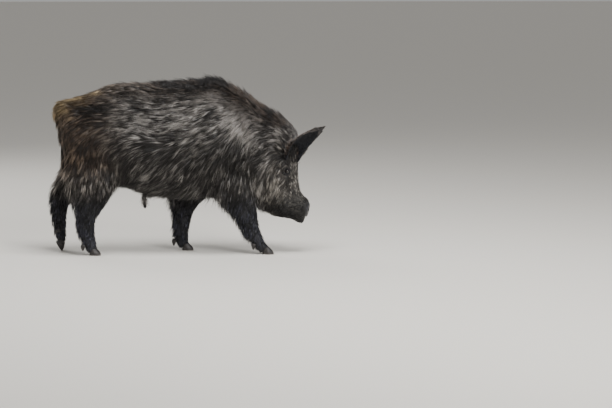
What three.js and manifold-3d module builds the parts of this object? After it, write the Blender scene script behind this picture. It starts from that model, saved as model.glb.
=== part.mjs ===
// A life-size male wild boar, walking with its head lowered. Millimetres, +Z up, +X towards the snout.
// The solids reach out to the tips of the coat. Trunk, neck, head and legs are joined, then parted by thin cuts.
import * as THREE from "three";
import { mergeVertices } from "three/addons/utils/BufferGeometryUtils.js";
import Module from "manifold-3d";

const wasm = await Module();
wasm.setup();

// ---- driving sizes ----
const gap = 0.4; // clear width of every cut and joint
const headTurn = THREE.MathUtils.degToRad(10); // the head looks a little to the boar's right
const turnPivot = 330; // x of the upright line that the neck turns about
const turnFrom = 12.2; // body station where the turn begins
const turnTo = 16; // body station where the turn is whole
const bodySides = 24;
const ringsBetween = 1.5; // lofted rings for each step between body stations
const limbSides = 12;
const ringsPerLimbStation = 1.25;

const eye = { radius: 12, at: [511, 62, 404] };
const socket = { radius: 24, at: [511, 90, 404] }; // the bowl that the eye sits in
const disc = { high: 80, wide: 94, thick: 12, at: [601, 0, 211], lean: 12, sides: 18 };
const ear = { long: 186, wide: 104, curl: 84, thick: 5, furRoot: 24, furTip: 2, at: [536, 57, 468], buried: 0.22 };
const claw = { long: 58, wide: 27, high: 34, apart: 20, splay: 0.08, sides: 8 };
const dewclaw = { long: 34, wide: 15, high: 19, apart: 20, lift: 20, splay: 0.4, droop: 1.15 };

// Stations from rump to snout. Each gives the profile's top and low point [x, z], the half width,
// how square the section is (2 is an ellipse) and how much it narrows towards the back's crest.
const bodyStations = [
  { top: [-604, 690], low: [-600, 560], wide: 44, square: 2.0, crest: 0.1 },
  { top: [-596, 744], low: [-592, 462], wide: 96, square: 2.1, crest: 0.2 },
  { top: [-562, 764], low: [-565, 385], wide: 130, square: 2.2, crest: 0.3 },
  { top: [-508, 771], low: [-512, 338], wide: 150, square: 2.3, crest: 0.34 },
  { top: [-440, 794], low: [-440, 322], wide: 159, square: 2.3, crest: 0.36 },
  { top: [-370, 829], low: [-365, 322], wide: 164, square: 2.3, crest: 0.38 },
  { top: [-295, 838], low: [-290, 322], wide: 168, square: 2.3, crest: 0.38 },
  { top: [-210, 837], low: [-212, 284], wide: 174, square: 2.3, crest: 0.38 },
  { top: [-120, 845], low: [-120, 267], wide: 178, square: 2.3, crest: 0.38 },
  { top: [-20, 854], low: [-20, 262], wide: 178, square: 2.3, crest: 0.4 },
  { top: [80, 866], low: [80, 262], wide: 175, square: 2.3, crest: 0.42 },
  { top: [172, 864], low: [165, 264], wide: 170, square: 2.3, crest: 0.44 },
  { top: [250, 828], low: [222, 262], wide: 163, square: 2.2, crest: 0.42 },
  { top: [328, 778], low: [254, 262], wide: 155, square: 2.2, crest: 0.4 },
  { top: [406, 716], low: [282, 264], wide: 146, square: 2.2, crest: 0.36 },
  { top: [474, 662], low: [304, 266], wide: 137, square: 2.2, crest: 0.32 },
  { top: [541, 607], low: [322, 262], wide: 131, square: 2.2, crest: 0.36 },
  { top: [564, 528], low: [338, 250], wide: 121, square: 2.3, crest: 0.42 },
  { top: [559, 440], low: [352, 236], wide: 112, square: 2.4, crest: 0.43 },
  { top: [559, 390], low: [368, 220], wide: 102, square: 2.4, crest: 0.4 },
  { top: [562, 346], low: [392, 205], wide: 89, square: 2.4, crest: 0.32 },
  { top: [566, 316], low: [426, 184], wide: 75, square: 2.4, crest: 0.24 },
  { top: [574, 296], low: [460, 171], wide: 64, square: 2.5, crest: 0.16 },
  { top: [584, 281], low: [498, 167], wide: 54, square: 2.5, crest: 0.08 },
  { top: [597, 268], low: [534, 157], wide: 49, square: 2.5, crest: 0.05 },
  { top: [605, 259], low: [558, 143], wide: 46, square: 2.4, crest: 0.03 },
  { top: [603, 249], low: [575, 139], wide: 40, square: 2.2, crest: 0.0 },
];

// Masses of muscle, bone and coat that swell or hollow the flanks: centre [x, z], reach [x, z], how far out.
const masses = {
  haunch: { at: [-440, 520], reach: [110, 150], out: 16 },
  flank: { at: [-290, 450], reach: [60, 120], out: -9 },
  shoulder: { at: [205, 500], reach: [85, 200], out: 17 },
  behindShoulder: { at: [70, 450], reach: [50, 160], out: -7 },
  cheek: { at: [430, 330], reach: [60, 75], out: 12 },
  brow: { at: [533, 430], reach: [24, 28], out: 8 },
  muzzle: { at: [520, 315], reach: [30, 32], out: -6 },
  lip: { at: [562, 215], reach: [28, 32], out: 5 },
};

// Legs from deep in the trunk down to the hoof. Each station gives the centre [x, out, z], the half
// depth fore and aft, and the half width. The dome is the round top of the part that is called the leg;
// behind the leg its region widens below the height opensAt.
const legs = {
  foreleg_right: {
    side: -1,
    dome: { at: [252, 372], radius: 118, opensAt: 170 },
    stations: [
      { at: [222, 84, 500], deep: 80, wide: 48 },
      { at: [232, 95, 425], deep: 106, wide: 66 },
      { at: [246, 99, 350], deep: 104, wide: 65 },
      { at: [264, 100, 288], deep: 90, wide: 55 },
      { at: [281, 97, 240], deep: 73, wide: 47 },
      { at: [296, 94, 200], deep: 61, wide: 41 },
      { at: [308, 92, 165], deep: 53, wide: 37 },
      { at: [321, 90, 131], deep: 46, wide: 34 },
      { at: [334, 89, 98], deep: 41, wide: 32 },
      { at: [351, 88, 66], deep: 36, wide: 32 },
      { at: [370, 87, 40], deep: 29, wide: 32 },
      { at: [388, 86, 20], deep: 25, wide: 31 },
    ],
    toe: [433, 86],
    dewclawsBehind: 44,
    pitch: 0,
  },
  foreleg_left: {
    side: 1,
    dome: { at: [60, 380], radius: 140, opensAt: 170 },
    stations: [
      { at: [140, 84, 500], deep: 80, wide: 48 },
      { at: [105, 95, 425], deep: 104, wide: 66 },
      { at: [62, 99, 350], deep: 100, wide: 65 },
      { at: [20, 100, 282], deep: 84, wide: 55 },
      { at: [-2, 97, 230], deep: 65, wide: 46 },
      { at: [-10, 94, 188], deep: 54, wide: 40 },
      { at: [-14, 91, 147], deep: 46, wide: 36 },
      { at: [-17, 89, 107], deep: 41, wide: 32 },
      { at: [-19, 88, 70], deep: 39, wide: 32 },
      { at: [-13, 87, 42], deep: 31, wide: 32 },
      { at: [-3, 86, 20], deep: 26, wide: 31 },
    ],
    toe: [42, 86],
    dewclawsBehind: 40,
    pitch: 0,
  },
  hindleg_right: {
    side: -1,
    dome: { at: [-452, 402], radius: 150, opensAt: 402 },
    stations: [
      { at: [-440, 78, 560], deep: 90, wide: 52 },
      { at: [-444, 94, 480], deep: 130, wide: 72 },
      { at: [-448, 100, 400], deep: 138, wide: 75 },
      { at: [-456, 104, 335], deep: 124, wide: 66 },
      { at: [-463, 102, 285], deep: 101, wide: 56 },
      { at: [-470, 98, 240], deep: 80, wide: 46 },
      { at: [-476, 95, 206], deep: 62, wide: 39 },
      { at: [-481, 93, 172], deep: 53, wide: 35 },
      { at: [-482, 91, 138], deep: 47, wide: 32 },
      { at: [-476, 90, 104], deep: 42, wide: 31 },
      { at: [-467, 89, 74], deep: 37, wide: 31 },
      { at: [-457, 88, 46], deep: 31, wide: 32 },
      { at: [-449, 88, 21], deep: 26, wide: 31 },
    ],
    toe: [-408, 88],
    dewclawsBehind: 30,
    pitch: 0,
  },
  hindleg_left: {
    side: 1,
    dome: { at: [-458, 402], radius: 150, opensAt: 402 },
    stations: [
      { at: [-440, 78, 560], deep: 90, wide: 52 },
      { at: [-462, 94, 480], deep: 122, wide: 72 },
      { at: [-496, 100, 410], deep: 112, wide: 73 },
      { at: [-548, 104, 348], deep: 86, wide: 61 },
      { at: [-592, 102, 296], deep: 62, wide: 49 },
      { at: [-614, 98, 246], deep: 50, wide: 41 },
      { at: [-620, 95, 200], deep: 45, wide: 37 },
      { at: [-618, 93, 160], deep: 40, wide: 33 },
      { at: [-615, 91, 122], deep: 35, wide: 31 },
      { at: [-613, 90, 90], deep: 31, wide: 31 },
      { at: [-608, 89, 62], deep: 26, wide: 31 },
      { at: [-601, 89, 42], deep: 19, wide: 29 },
    ],
    toe: [-607, 89],
    dewclawsBehind: 40,
    pitch: 58,
  },
};

const tailStations = [
  { at: [-560, 0, 742], deep: 14, wide: 18 },
  { at: [-602, 0, 738], deep: 20, wide: 23 },
  { at: [-625, 0, 712], deep: 22, wide: 24 },
  { at: [-624, 0, 672], deep: 17, wide: 20 },
  { at: [-612, 0, 625], deep: 15, wide: 17 },
  { at: [-605, 0, 575], deep: 15, wide: 18 },
  { at: [-602, 0, 525], deep: 14, wide: 17 },
  { at: [-600, 0, 490], deep: 9, wide: 11 },
  { at: [-599, 0, 470], deep: 3, wide: 4 },
];

// The hanging brush of hair at the sheath, under the belly.
const brushStations = [
  { at: [-200, 0, 320], deep: 30, wide: 26 },
  { at: [-199, 0, 282], deep: 24, wide: 20 },
  { at: [-197, 0, 250], deep: 15, wide: 13 },
  { at: [-192, 0, 219], deep: 4, wide: 4 },
];
const scrotum = { at: [-578, 0, 434], reach: [30, 36, 50] };

// ---- solids and meshes ----
function toSolid(geometry) {
  const plain = geometry.index ? geometry.toNonIndexed() : geometry.clone();
  for (const name of ["normal", "uv"]) plain.deleteAttribute(name);
  const merged = mergeVertices(plain, 1e-3);
  return new wasm.Manifold(
    new wasm.Mesh({
      numProp: 3,
      vertProperties: merged.attributes.position.array,
      triVerts: new Uint32Array(merged.index.array),
    }),
  );
}

function toGeometry(solid) {
  const mesh = solid.getMesh();
  const positions = new Float32Array(mesh.numVert * 3);
  for (let i = 0; i < mesh.numVert; i++) {
    positions.set(mesh.vertProperties.subarray(i * mesh.numProp, i * mesh.numProp + 3), i * 3);
  }
  const geometry = new THREE.BufferGeometry();
  geometry.setAttribute("position", new THREE.BufferAttribute(positions, 3));
  geometry.setIndex(new THREE.BufferAttribute(new Uint32Array(mesh.triVerts), 1));
  return geometry;
}

// A closed skin over rings of points that all run the same way round. Its ends are fans about a middle
// point, or strips across the ring where the ring is a crescent.
function loft(rings, crescent = false) {
  const sides = rings[0].length;
  const last = rings.length - 1;
  const points = rings.flat();
  const faces = [];
  const quad = (a, b, c, d) => faces.push(a, b, d, a, d, c);
  for (let r = 0; r < last; r++) {
    for (let i = 0; i < sides; i++) {
      const j = (i + 1) % sides;
      quad(r * sides + i, r * sides + j, (r + 1) * sides + i, (r + 1) * sides + j);
    }
  }
  for (const end of [0, last]) {
    const vertex = (i) => end * sides + (i % sides);
    if (crescent) {
      for (let i = 0; i + 1 < sides / 2; i++) {
        const [a, b, c, d] = [i, i + 1, sides - 1 - i, sides - 2 - i].map(vertex);
        if (end === 0) quad(b, a, d, c);
        else quad(a, b, c, d);
      }
    } else {
      const middle = new THREE.Vector3();
      rings[end].forEach((p) => middle.addScaledVector(p, 1 / sides));
      const hub = points.push(middle) - 1;
      for (let i = 0; i < sides; i++) {
        faces.push(hub, ...(end === 0 ? [vertex(i + 1), vertex(i)] : [vertex(i), vertex(i + 1)]));
      }
    }
  }
  const geometry = new THREE.BufferGeometry().setFromPoints(points);
  geometry.setIndex(faces);
  const solid = toSolid(geometry);
  if (solid.volume() > 0) return solid;
  geometry.setIndex(faces.reverse());
  return toSolid(geometry);
}

const curveThrough = (points) => new THREE.CatmullRomCurve3(points, false, "catmullrom", 0.5);
const rounded = (value, square) => Math.sign(value) * Math.abs(value) ** (2 / square);
const around = (sides, place) => Array.from({ length: sides }, (_, i) => place((2 * Math.PI * i) / sides));

// ---- trunk, neck and head ----
const lastStation = bodyStations.length - 1;
const topLine = curveThrough(bodyStations.map((s) => new THREE.Vector3(s.top[0], 0, s.top[1])));
const lowLine = curveThrough(bodyStations.map((s) => new THREE.Vector3(s.low[0], 0, s.low[1])));
const sectionLine = curveThrough(bodyStations.map((s) => new THREE.Vector3(s.wide, s.square, s.crest)));

function swelling(x, z) {
  return Object.values(masses).reduce((sum, mass) => {
    const [u, v] = [(x - mass.at[0]) / mass.reach[0], (z - mass.at[1]) / mass.reach[1]];
    return sum + mass.out * Math.exp(-u * u - v * v);
  }, 0);
}

// The turn about the neck's upright line; share is 0 in the trunk and 1 in the head.
function turnMatrix(share) {
  const there = new THREE.Matrix4().makeTranslation(turnPivot, 0, 0);
  const back = new THREE.Matrix4().makeTranslation(-turnPivot, 0, 0);
  return there.multiply(new THREE.Matrix4().makeRotationZ(-headTurn * share)).multiply(back);
}
const headFrame = turnMatrix(1);
const inHead = (geometry) => toSolid(geometry.clone().applyMatrix4(headFrame));

function bodyRing(station, grow) {
  const t = station / lastStation;
  const [top, low, section] = [topLine.getPoint(t), lowLine.getPoint(t), sectionLine.getPoint(t)];
  const middle = top.clone().lerp(low, 0.5);
  const half = top.clone().sub(middle);
  half.setLength(half.length() + grow);
  const turn = turnMatrix(THREE.MathUtils.smoothstep(station, turnFrom, turnTo));
  return around(bodySides, (angle) => {
    const high = rounded(Math.cos(angle), section.y);
    const side = rounded(Math.sin(angle), section.y);
    const point = middle.clone().addScaledVector(half, high);
    const narrowed = 1 - section.z * Math.max(0, high);
    point.y = side * ((section.x + grow) * narrowed + swelling(point.x, point.z));
    return point.applyMatrix4(turn);
  });
}

function bodySolid(grow = 0) {
  const count = lastStation * ringsBetween + 1;
  return loft(Array.from({ length: count }, (_, i) => bodyRing(i / ringsBetween, grow)));
}

// A thin slab across the whole body, through the points [x, z] a and b, turned with the neck.
function cutThrough(a, b, share) {
  const slab = new THREE.BoxGeometry(gap, 900, 1600);
  slab.rotateY(Math.atan2(a[0] - b[0], a[1] - b[1]));
  slab.translate((a[0] + b[0]) / 2, 0, (a[1] + b[1]) / 2);
  return toSolid(slab.applyMatrix4(turnMatrix(share)));
}

// ---- pieces of the head, laid out before the head is turned ----
function ball({ radius, at }, side, grow = 0) {
  const sphere = new THREE.SphereGeometry(radius + grow, 10, 8);
  return inHead(sphere.translate(at[0], side * at[1], at[2]));
}

// Everything below the mouth line and ahead of the jaw's angle, or the same region a gap larger.
function jawRegion(grow = 0) {
  const outline = [
    [640, 118],
    [590, 150],
    [540, 180],
    [475, 212],
    [425, 238],
    [378, 290],
    [340, 150],
    [640, 40],
  ];
  const shape = new THREE.Shape(outline.map(([x, z]) => new THREE.Vector2(x - grow, z + 1.6 * grow)));
  const prism = new THREE.ExtrudeGeometry(shape, { depth: 400, bevelEnabled: false });
  return inHead(prism.rotateX(Math.PI / 2).translate(0, 200, 0));
}

// The nose disc: a domed oval plate with a rolled rim and two nostrils.
function noseDisc(grow = 0) {
  const steps = [
    { forward: -0.5, size: 0.92 },
    { forward: 0.12, size: 1 },
    { forward: 0.42, size: 0.93 },
    { forward: 0.5, size: 0.76 },
    { forward: 0.42, size: 0.4 },
  ];
  const rings = steps.map(({ forward, size }) =>
    around(disc.sides, (angle) => {
      const across = rounded(Math.sin(angle), 2.3) * ((disc.wide / 2) * size + grow);
      const upward = rounded(Math.cos(angle), 2.3) * ((disc.high / 2) * size + grow);
      return new THREE.Vector3(forward * disc.thick + (size > 0.9 ? -grow : grow), across, upward);
    }),
  );
  let plate = loft(rings);
  for (const side of grow === 0 ? [-1, 1] : []) {
    const nostril = new THREE.SphereGeometry(1, 10, 6).scale(8, 8.5, 12);
    nostril.rotateX(side * 0.25).translate(disc.thick / 2 + 1, side * 20, 4);
    plate = plate.subtract(toSolid(nostril));
  }
  const placed = toGeometry(plate).rotateY(THREE.MathUtils.degToRad(disc.lean));
  return inHead(placed.translate(...disc.at));
}

// A cupped ear, wrapped nearly round at its root in the temple and open above, curling forward to its tip.
// Its cup opens forward, down and a little outward.
function earShell(side) {
  const steps = 8;
  const across = 6;
  const rings = Array.from({ length: steps + 1 }, (_, r) => {
    const t = THREE.MathUtils.lerp(-ear.buried, 1, r / steps);
    const free = Math.max(t, 0);
    const outline = Math.min(1, 0.7 + 0.6 * t) * Math.sqrt(1 - free ** 3) + 0.04;
    const wrap = THREE.MathUtils.lerp(1.9, 0.6, Math.min(1, free * 1.15)); // half angle of the cup
    const radius = ((ear.wide / 2) * outline) / Math.sin(Math.min(wrap, Math.PI / 2));
    const fur = THREE.MathUtils.lerp(ear.furRoot, ear.furTip, Math.sqrt(free)); // long hair on its back
    const arc = (i, inner) => {
      const angle = wrap * ((2 * i) / across - 1);
      const swell = Math.cos((angle / wrap) * 1.4);
      const r2 = radius + (inner ? -ear.thick * (0.45 + 0.55 * swell) : fur * swell);
      const forward = radius * Math.cos(wrap) - r2 * Math.cos(angle) + ear.curl * t * t;
      return new THREE.Vector3(forward, r2 * Math.sin(angle), t * ear.long);
    };
    const back = Array.from({ length: across + 1 }, (__, i) => arc(i, 0));
    const inside = Array.from({ length: across + 1 }, (__, i) => arc(across - i, 1));
    return [...back, ...inside];
  });
  const axis = new THREE.Vector3(0.42, side * 0.05, 0.907).normalize(); // from root to tip
  const mouth = new THREE.Vector3(0.62, side * 0.66, -0.42); // out of the cup
  mouth.addScaledVector(axis, -mouth.dot(axis)).normalize();
  const width = new THREE.Vector3().crossVectors(axis, mouth);
  const placed = toGeometry(loft(rings, true)).applyMatrix4(new THREE.Matrix4().makeBasis(mouth, width, axis));
  return inHead(placed.translate(ear.at[0], side * ear.at[1], ear.at[2]));
}

// ---- legs, tail and feet ----
function limb(stations, side, grow = 0) {
  const path = curveThrough(stations.map((s) => new THREE.Vector3(s.at[0], side * s.at[1], s.at[2])));
  const sizes = curveThrough(stations.map((s) => new THREE.Vector3(s.deep, s.wide, 0)));
  const count = Math.round(stations.length * ringsPerLimbStation);
  const rings = Array.from({ length: count }, (_, r) => {
    const t = r / (count - 1);
    const [middle, size, along] = [path.getPoint(t), sizes.getPoint(t), path.getTangent(t)];
    const aft = new THREE.Vector3(-along.z, 0, along.x).normalize();
    const out = new THREE.Vector3().crossVectors(along, aft).normalize();
    return around(limbSides, (angle) =>
      middle
        .clone()
        .addScaledVector(aft, Math.cos(angle) * (size.x + grow))
        .addScaledVector(out, Math.sin(angle) * (size.y + grow)),
    );
  });
  return loft(rings);
}

// The region that is called the leg: a dome over a skirt, on the boar's own side of the belly.
function legRegion({ dome, side }, grow = 0) {
  const skirt = 300;
  const opensInFront = 170;
  const inner = 36 - grow;
  const [x, z] = dome.at;
  const radius = dome.radius + grow;
  const shape = new THREE.Shape();
  shape.moveTo(x - skirt, -100);
  shape.lineTo(x - skirt, dome.opensAt - 110);
  shape.lineTo(x - radius, dome.opensAt);
  shape.absarc(x, z, radius, Math.PI, 0, true);
  shape.lineTo(x + radius, opensInFront);
  shape.lineTo(x + skirt, opensInFront - 110);
  shape.lineTo(x + skirt, -100);
  const prism = new THREE.ExtrudeGeometry(shape, { depth: 300, bevelEnabled: false, curveSegments: 10 });
  prism.rotateX(Math.PI / 2).translate(0, side > 0 ? 300 + inner : -inner, 0);
  return toSolid(prism);
}

// One claw: flat sole, sloping front wall and a pointed toe at the origin, pointing along +X.
function clawShape({ long, wide, high }, grow) {
  const levels = [
    { up: 0, heel: 0, toe: 1, wide: 1 },
    { up: 0.4, heel: 0.02, toe: 0.9, wide: 1.04 },
    { up: 1, heel: 0.1, toe: 0.56, wide: 0.8 },
  ];
  const rings = levels.map((level) =>
    around(claw.sides, (angle) => {
      const half = ((level.toe - level.heel) * long) / 2 + grow;
      const middle = ((level.heel + level.toe) / 2 - 1) * long;
      const pointed = 1 - 0.5 * Math.max(0, Math.cos(angle)) ** 2;
      const across = ((level.wide * wide) / 2 + grow) * pointed * Math.sin(angle);
      return new THREE.Vector3(middle + half * Math.cos(angle), across, level.up * high + grow * (2 * level.up - 1));
    }),
  );
  return toGeometry(loft(rings));
}

// The four claws of one foot in their places: two side by side, and two dewclaws behind and above.
function footClaws({ toe, side, pitch, dewclawsBehind }, grow = 0) {
  const floor = new THREE.BoxGeometry(2000, 600, 200).translate(0, 0, -100);
  const claws = {};
  for (const [which, lean] of Object.entries({ inner: -side, outer: side })) {
    const main = clawShape(claw, grow);
    main.rotateZ(lean * claw.splay).translate(0, lean * claw.apart, 0);
    const dew = clawShape(dewclaw, grow);
    dew.rotateY(dewclaw.droop).rotateZ(Math.PI + lean * dewclaw.splay);
    dew.translate(-claw.long - dewclawsBehind, lean * dewclaw.apart, dewclaw.lift);
    for (const [name, geometry] of Object.entries({ hoof: main, dewclaw: dew })) {
      const sink = pitch > 0 ? 2 : 0; // a tilted claw stands on a small worn flat
      geometry.rotateY(THREE.MathUtils.degToRad(pitch)).translate(toe[0], side * toe[1], -sink);
      claws[`${name}_${which}`] = pitch > 0 ? toSolid(geometry).subtract(toSolid(floor)) : toSolid(geometry);
    }
  }
  return claws;
}

function scrotumSolid() {
  return toSolid(new THREE.SphereGeometry(1, 12, 8).scale(...scrotum.reach).translate(...scrotum.at));
}

// ---- materials ----
const finish = (color, roughness) => new THREE.MeshStandardMaterial({ color, roughness, metalness: 0 });
const materials = {
  coat: finish(0x4a4038, 0.85),
  darkCoat: finish(0x26221f, 0.85),
  nose: finish(0x2b2527, 0.35),
  horn: finish(0x2a2623, 0.5),
  eye: finish(0x1a100a, 0.08),
};

// ---- assembly ----
const boar = new THREE.Group();
function add(name, solid, material) {
  const mesh = new THREE.Mesh(toGeometry(solid), material);
  mesh.name = name;
  boar.add(mesh);
}

const grownBody = bodySolid(gap);
let rest = bodySolid().add(limb(brushStations, 1)).add(scrotumSolid());
for (const leg of Object.values(legs)) rest = rest.add(limb(leg.stations, leg.side));
for (const [name, leg] of Object.entries(legs)) {
  let flesh = rest.intersect(legRegion(leg));
  rest = rest.subtract(legRegion(leg, gap));
  const grownClaws = footClaws(leg, gap);
  for (const [part, solid] of Object.entries(footClaws(leg))) {
    flesh = flesh.subtract(grownClaws[part]);
    add(`${name}_${part}`, solid, materials.horn);
  }
  add(name, flesh, materials.darkCoat);
}

add("tail", limb(tailStations, 1), materials.coat);
const middleX = (solid) => solid.boundingBox().min[0] + solid.boundingBox().max[0];
const [trunk, neck, skull] = rest
  .subtract(limb(tailStations, 1, gap))
  .subtract(cutThrough([285, 815], [300, 262], 0))
  .subtract(cutThrough([527, 604], [352, 323], 1))
  .decompose()
  .filter((solid) => solid.volume() > 1e5)
  .sort((a, b) => middleX(a) - middleX(b));
add("trunk", trunk, materials.coat);
add("neck", neck, materials.coat);
add("lower_jaw", skull.intersect(jawRegion()).subtract(noseDisc(gap)), materials.coat);
let head = skull.subtract(jawRegion(gap)).subtract(noseDisc(gap));
for (const [name, side] of Object.entries({ right: -1, left: 1 })) {
  head = head.subtract(ball(socket, side)).subtract(ball(eye, side, gap));
  add(`eye_${name}`, ball(eye, side), materials.eye);
  add(`ear_${name}`, earShell(side).subtract(grownBody), materials.darkCoat);
}
add("head", head, materials.coat);
add("nose_disc", noseDisc(), materials.nose);

const box = new THREE.Box3().setFromObject(boar);
boar.position.set(-(box.min.x + box.max.x) / 2, -(box.min.y + box.max.y) / 2, -box.min.z);

export default boar;
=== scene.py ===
# Wild boar: one skin, a coat of bristle tufts, eyes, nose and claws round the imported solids.
# Metres, +X towards the snout, +Y to the boar's left, +Z up.
import math
import time

import bpy
import bmesh
import numpy as np
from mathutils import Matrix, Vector
from mathutils.bvhtree import BVHTree


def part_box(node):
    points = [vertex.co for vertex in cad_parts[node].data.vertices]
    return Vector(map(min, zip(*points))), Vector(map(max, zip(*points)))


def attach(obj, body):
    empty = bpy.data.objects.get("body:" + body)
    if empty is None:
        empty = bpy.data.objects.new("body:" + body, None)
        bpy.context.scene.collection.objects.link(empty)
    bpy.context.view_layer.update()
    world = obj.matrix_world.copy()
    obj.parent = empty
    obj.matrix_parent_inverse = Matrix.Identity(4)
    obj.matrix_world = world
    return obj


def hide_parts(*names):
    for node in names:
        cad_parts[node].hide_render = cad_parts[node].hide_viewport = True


clock = time.time()
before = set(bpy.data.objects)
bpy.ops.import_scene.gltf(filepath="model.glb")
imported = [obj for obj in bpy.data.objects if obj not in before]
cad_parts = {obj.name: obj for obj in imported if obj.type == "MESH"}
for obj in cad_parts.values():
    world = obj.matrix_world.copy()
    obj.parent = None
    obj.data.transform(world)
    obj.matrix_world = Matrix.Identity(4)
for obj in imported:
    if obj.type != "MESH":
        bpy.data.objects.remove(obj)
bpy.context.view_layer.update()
middleY = (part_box("trunk")[0].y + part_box("trunk")[1].y) / 2  # the trunk's mid-plane
# The head is turned a little to the right, about an upright line through the pivot.
headTurn = {"angle": math.radians(-10), "pivot": np.array([0.318, middleY, 0.0])}


def say(text):
    print(f"[{time.time() - clock:5.1f} s] {text}")


def addObject(name, data):
    made = bpy.data.objects.new(name, data)
    bpy.context.scene.collection.objects.link(made)
    return made


# Camera: a long lens from the boar's right, with the boar in the left half of the view.
cameraSetup = {
    "distance": 11.0,
    "rise": 6.0,  # degrees that it looks down on the boar's middle
    "facing": (-0.0028, 0.30),  # x and z of the boar that it stands level with
    "aim": (0.5812, 0.234),  # x and z at the middle of the view
    "metresPerPixel": 0.0049,
    "pixelsAcross": 612,
    "sensor": 36.0,
    "farthest": 100,
}


def makeCamera(cfg):
    rise = math.radians(cfg["rise"])
    data = bpy.data.cameras.new("camera")
    data.sensor_width = cfg["sensor"]
    data.lens = cfg["distance"] / cfg["metresPerPixel"] / cfg["pixelsAcross"] * cfg["sensor"]
    data.clip_end = cfg["farthest"]
    camera = addObject("camera", data)
    back, up = cfg["distance"] * math.cos(rise), cfg["distance"] * math.sin(rise)
    camera.location = (cfg["facing"][0], middleY - back, cfg["facing"][1] + up)
    aim = Vector((cfg["aim"][0], middleY, cfg["aim"][1]))
    camera.rotation_euler = (aim - camera.location).to_track_quat("-Z", "Y").to_euler()
    bpy.context.scene.camera = camera


makeCamera(cameraSetup)


# Sums on arrays of points.
def unit(v):
    return v / np.maximum(np.linalg.norm(v, axis=-1, keepdims=True), 1e-12)


def dot(a, b):
    return np.sum(a * b, axis=-1, keepdims=True)


def ramp(low, high, x):
    # smooth step: 0 at low, 1 at high, and high may be the smaller number
    t = np.clip((x - low) / (high - low), 0, 1)
    return t * t * (3 - 2 * t)


def hump(x, at, reach):
    # 1 at that place, falling away on both sides of it
    return np.exp(-(((x - at) / reach) ** 2))


def blob(x, z, at, reach):
    return np.exp(-(((x - at[0]) / reach[0]) ** 2) - ((z - at[1]) / reach[1]) ** 2)


def mix(a, b, t):
    t = np.asarray(t)[..., None]
    return a * (1 - t) + b * t


def waves(p, size, seed):
    # soft random ups and downs between about -1 and 1, with humps of about that size
    rng = np.random.default_rng(seed)
    total = np.zeros(len(p))
    for octave in range(8):  # each a little finer and weaker than the last
        k = rng.normal(size=3)
        k *= math.pi / size * (0.7 + 0.2 * octave) / np.linalg.norm(k)
        total += np.sin(p @ k + rng.uniform(0, 6.3)) / (1 + 0.2 * octave)
    return total / 2.4


def turnZ(v, angle):
    c, s = math.cos(angle), math.sin(angle)
    return np.stack([v[..., 0] * c - v[..., 1] * s, v[..., 0] * s + v[..., 1] * c, v[..., 2]], -1)


def withHead(v):
    # a direction of the head's own frame, turned as the head is
    return turnZ(np.asarray(v, float), headTurn["angle"])


def inHead(p):
    # the head's own frame, turned back so that the head looks along +X and y = 0 parts it in two
    q = turnZ(np.asarray(p, float) - headTurn["pivot"], -headTurn["angle"]) + headTurn["pivot"]
    return q - np.array([0, middleY, 0])


def outOfHead(q):
    p = np.asarray(q, float) + np.array([0, middleY, 0]) - headTurn["pivot"]
    return withHead(p) + headTurn["pivot"]


def hexColour(text):
    srgb = [int(text[i : i + 2], 16) / 255 for i in (1, 3, 5)]
    return np.array([c / 12.92 if c <= 0.04045 else ((c + 0.055) / 1.055) ** 2.4 for c in srgb])


def flatTone(colour, count):
    return np.tile(colour, (count, 1))


# Meshes.
def makeMesh(name, points, triangles=None, quads=None):
    mesh = bpy.data.meshes.new(name)
    sets = [np.asarray(f, np.int32) for f in (quads, triangles) if f is not None and len(f)]
    corners = np.concatenate([f.ravel() for f in sets])
    sizes = np.concatenate([np.full(len(f), f.shape[1], np.int32) for f in sets])
    starts = np.concatenate([[0], np.cumsum(sizes)[:-1]]).astype(np.int32)
    mesh.vertices.add(len(points))
    mesh.vertices.foreach_set("co", np.asarray(points, np.float32).ravel())
    mesh.loops.add(len(corners))
    mesh.loops.foreach_set("vertex_index", corners)
    mesh.polygons.add(len(sizes))
    mesh.polygons.foreach_set("loop_start", starts)
    mesh.update(calc_edges=True)
    smooth(mesh)
    return mesh


def smooth(mesh):
    mesh.polygons.foreach_set("use_smooth", np.ones(len(mesh.polygons), bool))


def readRows(items, key, width=1, kind=np.int32):
    rows = np.empty(len(items) * width, kind)
    items.foreach_get(key, rows)
    return rows.reshape(-1, width) if width > 1 else rows


def readPoints(mesh):
    return readRows(mesh.vertices, "co", 3, np.float32).astype(float)


def readNormals(mesh):
    return readRows(mesh.vertex_normals, "vector", 3, np.float32).astype(float)


def readEdges(mesh):
    return readRows(mesh.edges, "vertices", 2)


def readTriangles(mesh):
    mesh.calc_loop_triangles()
    return readRows(mesh.loop_triangles, "vertices", 3)


def readFaces(mesh):
    # quads as quads, and every other face cut to triangles
    sizes, starts = readRows(mesh.polygons, "loop_total"), readRows(mesh.polygons, "loop_start")
    corners = readRows(mesh.loops, "vertex_index")
    quads = corners[starts[sizes == 4][:, None] + np.arange(4)]
    triangles = readTriangles(mesh)
    owner = readRows(mesh.loop_triangles, "polygon_index")
    return quads, triangles[sizes[owner] != 4]


def treeOf(mesh):
    return BVHTree.FromPolygons([tuple(v) for v in readPoints(mesh)], readTriangles(mesh).tolist())


def setPoints(mesh, points):
    mesh.vertices.foreach_set("co", np.asarray(points, np.float32).ravel())
    mesh.update()


def paint(mesh, colours):
    layer = mesh.color_attributes.new("tone", "FLOAT_COLOR", "POINT")
    rgba = np.ones((len(mesh.vertices), 4), np.float32)
    rgba[:, :3] = colours
    layer.data.foreach_set("color", rgba.ravel())


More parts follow.
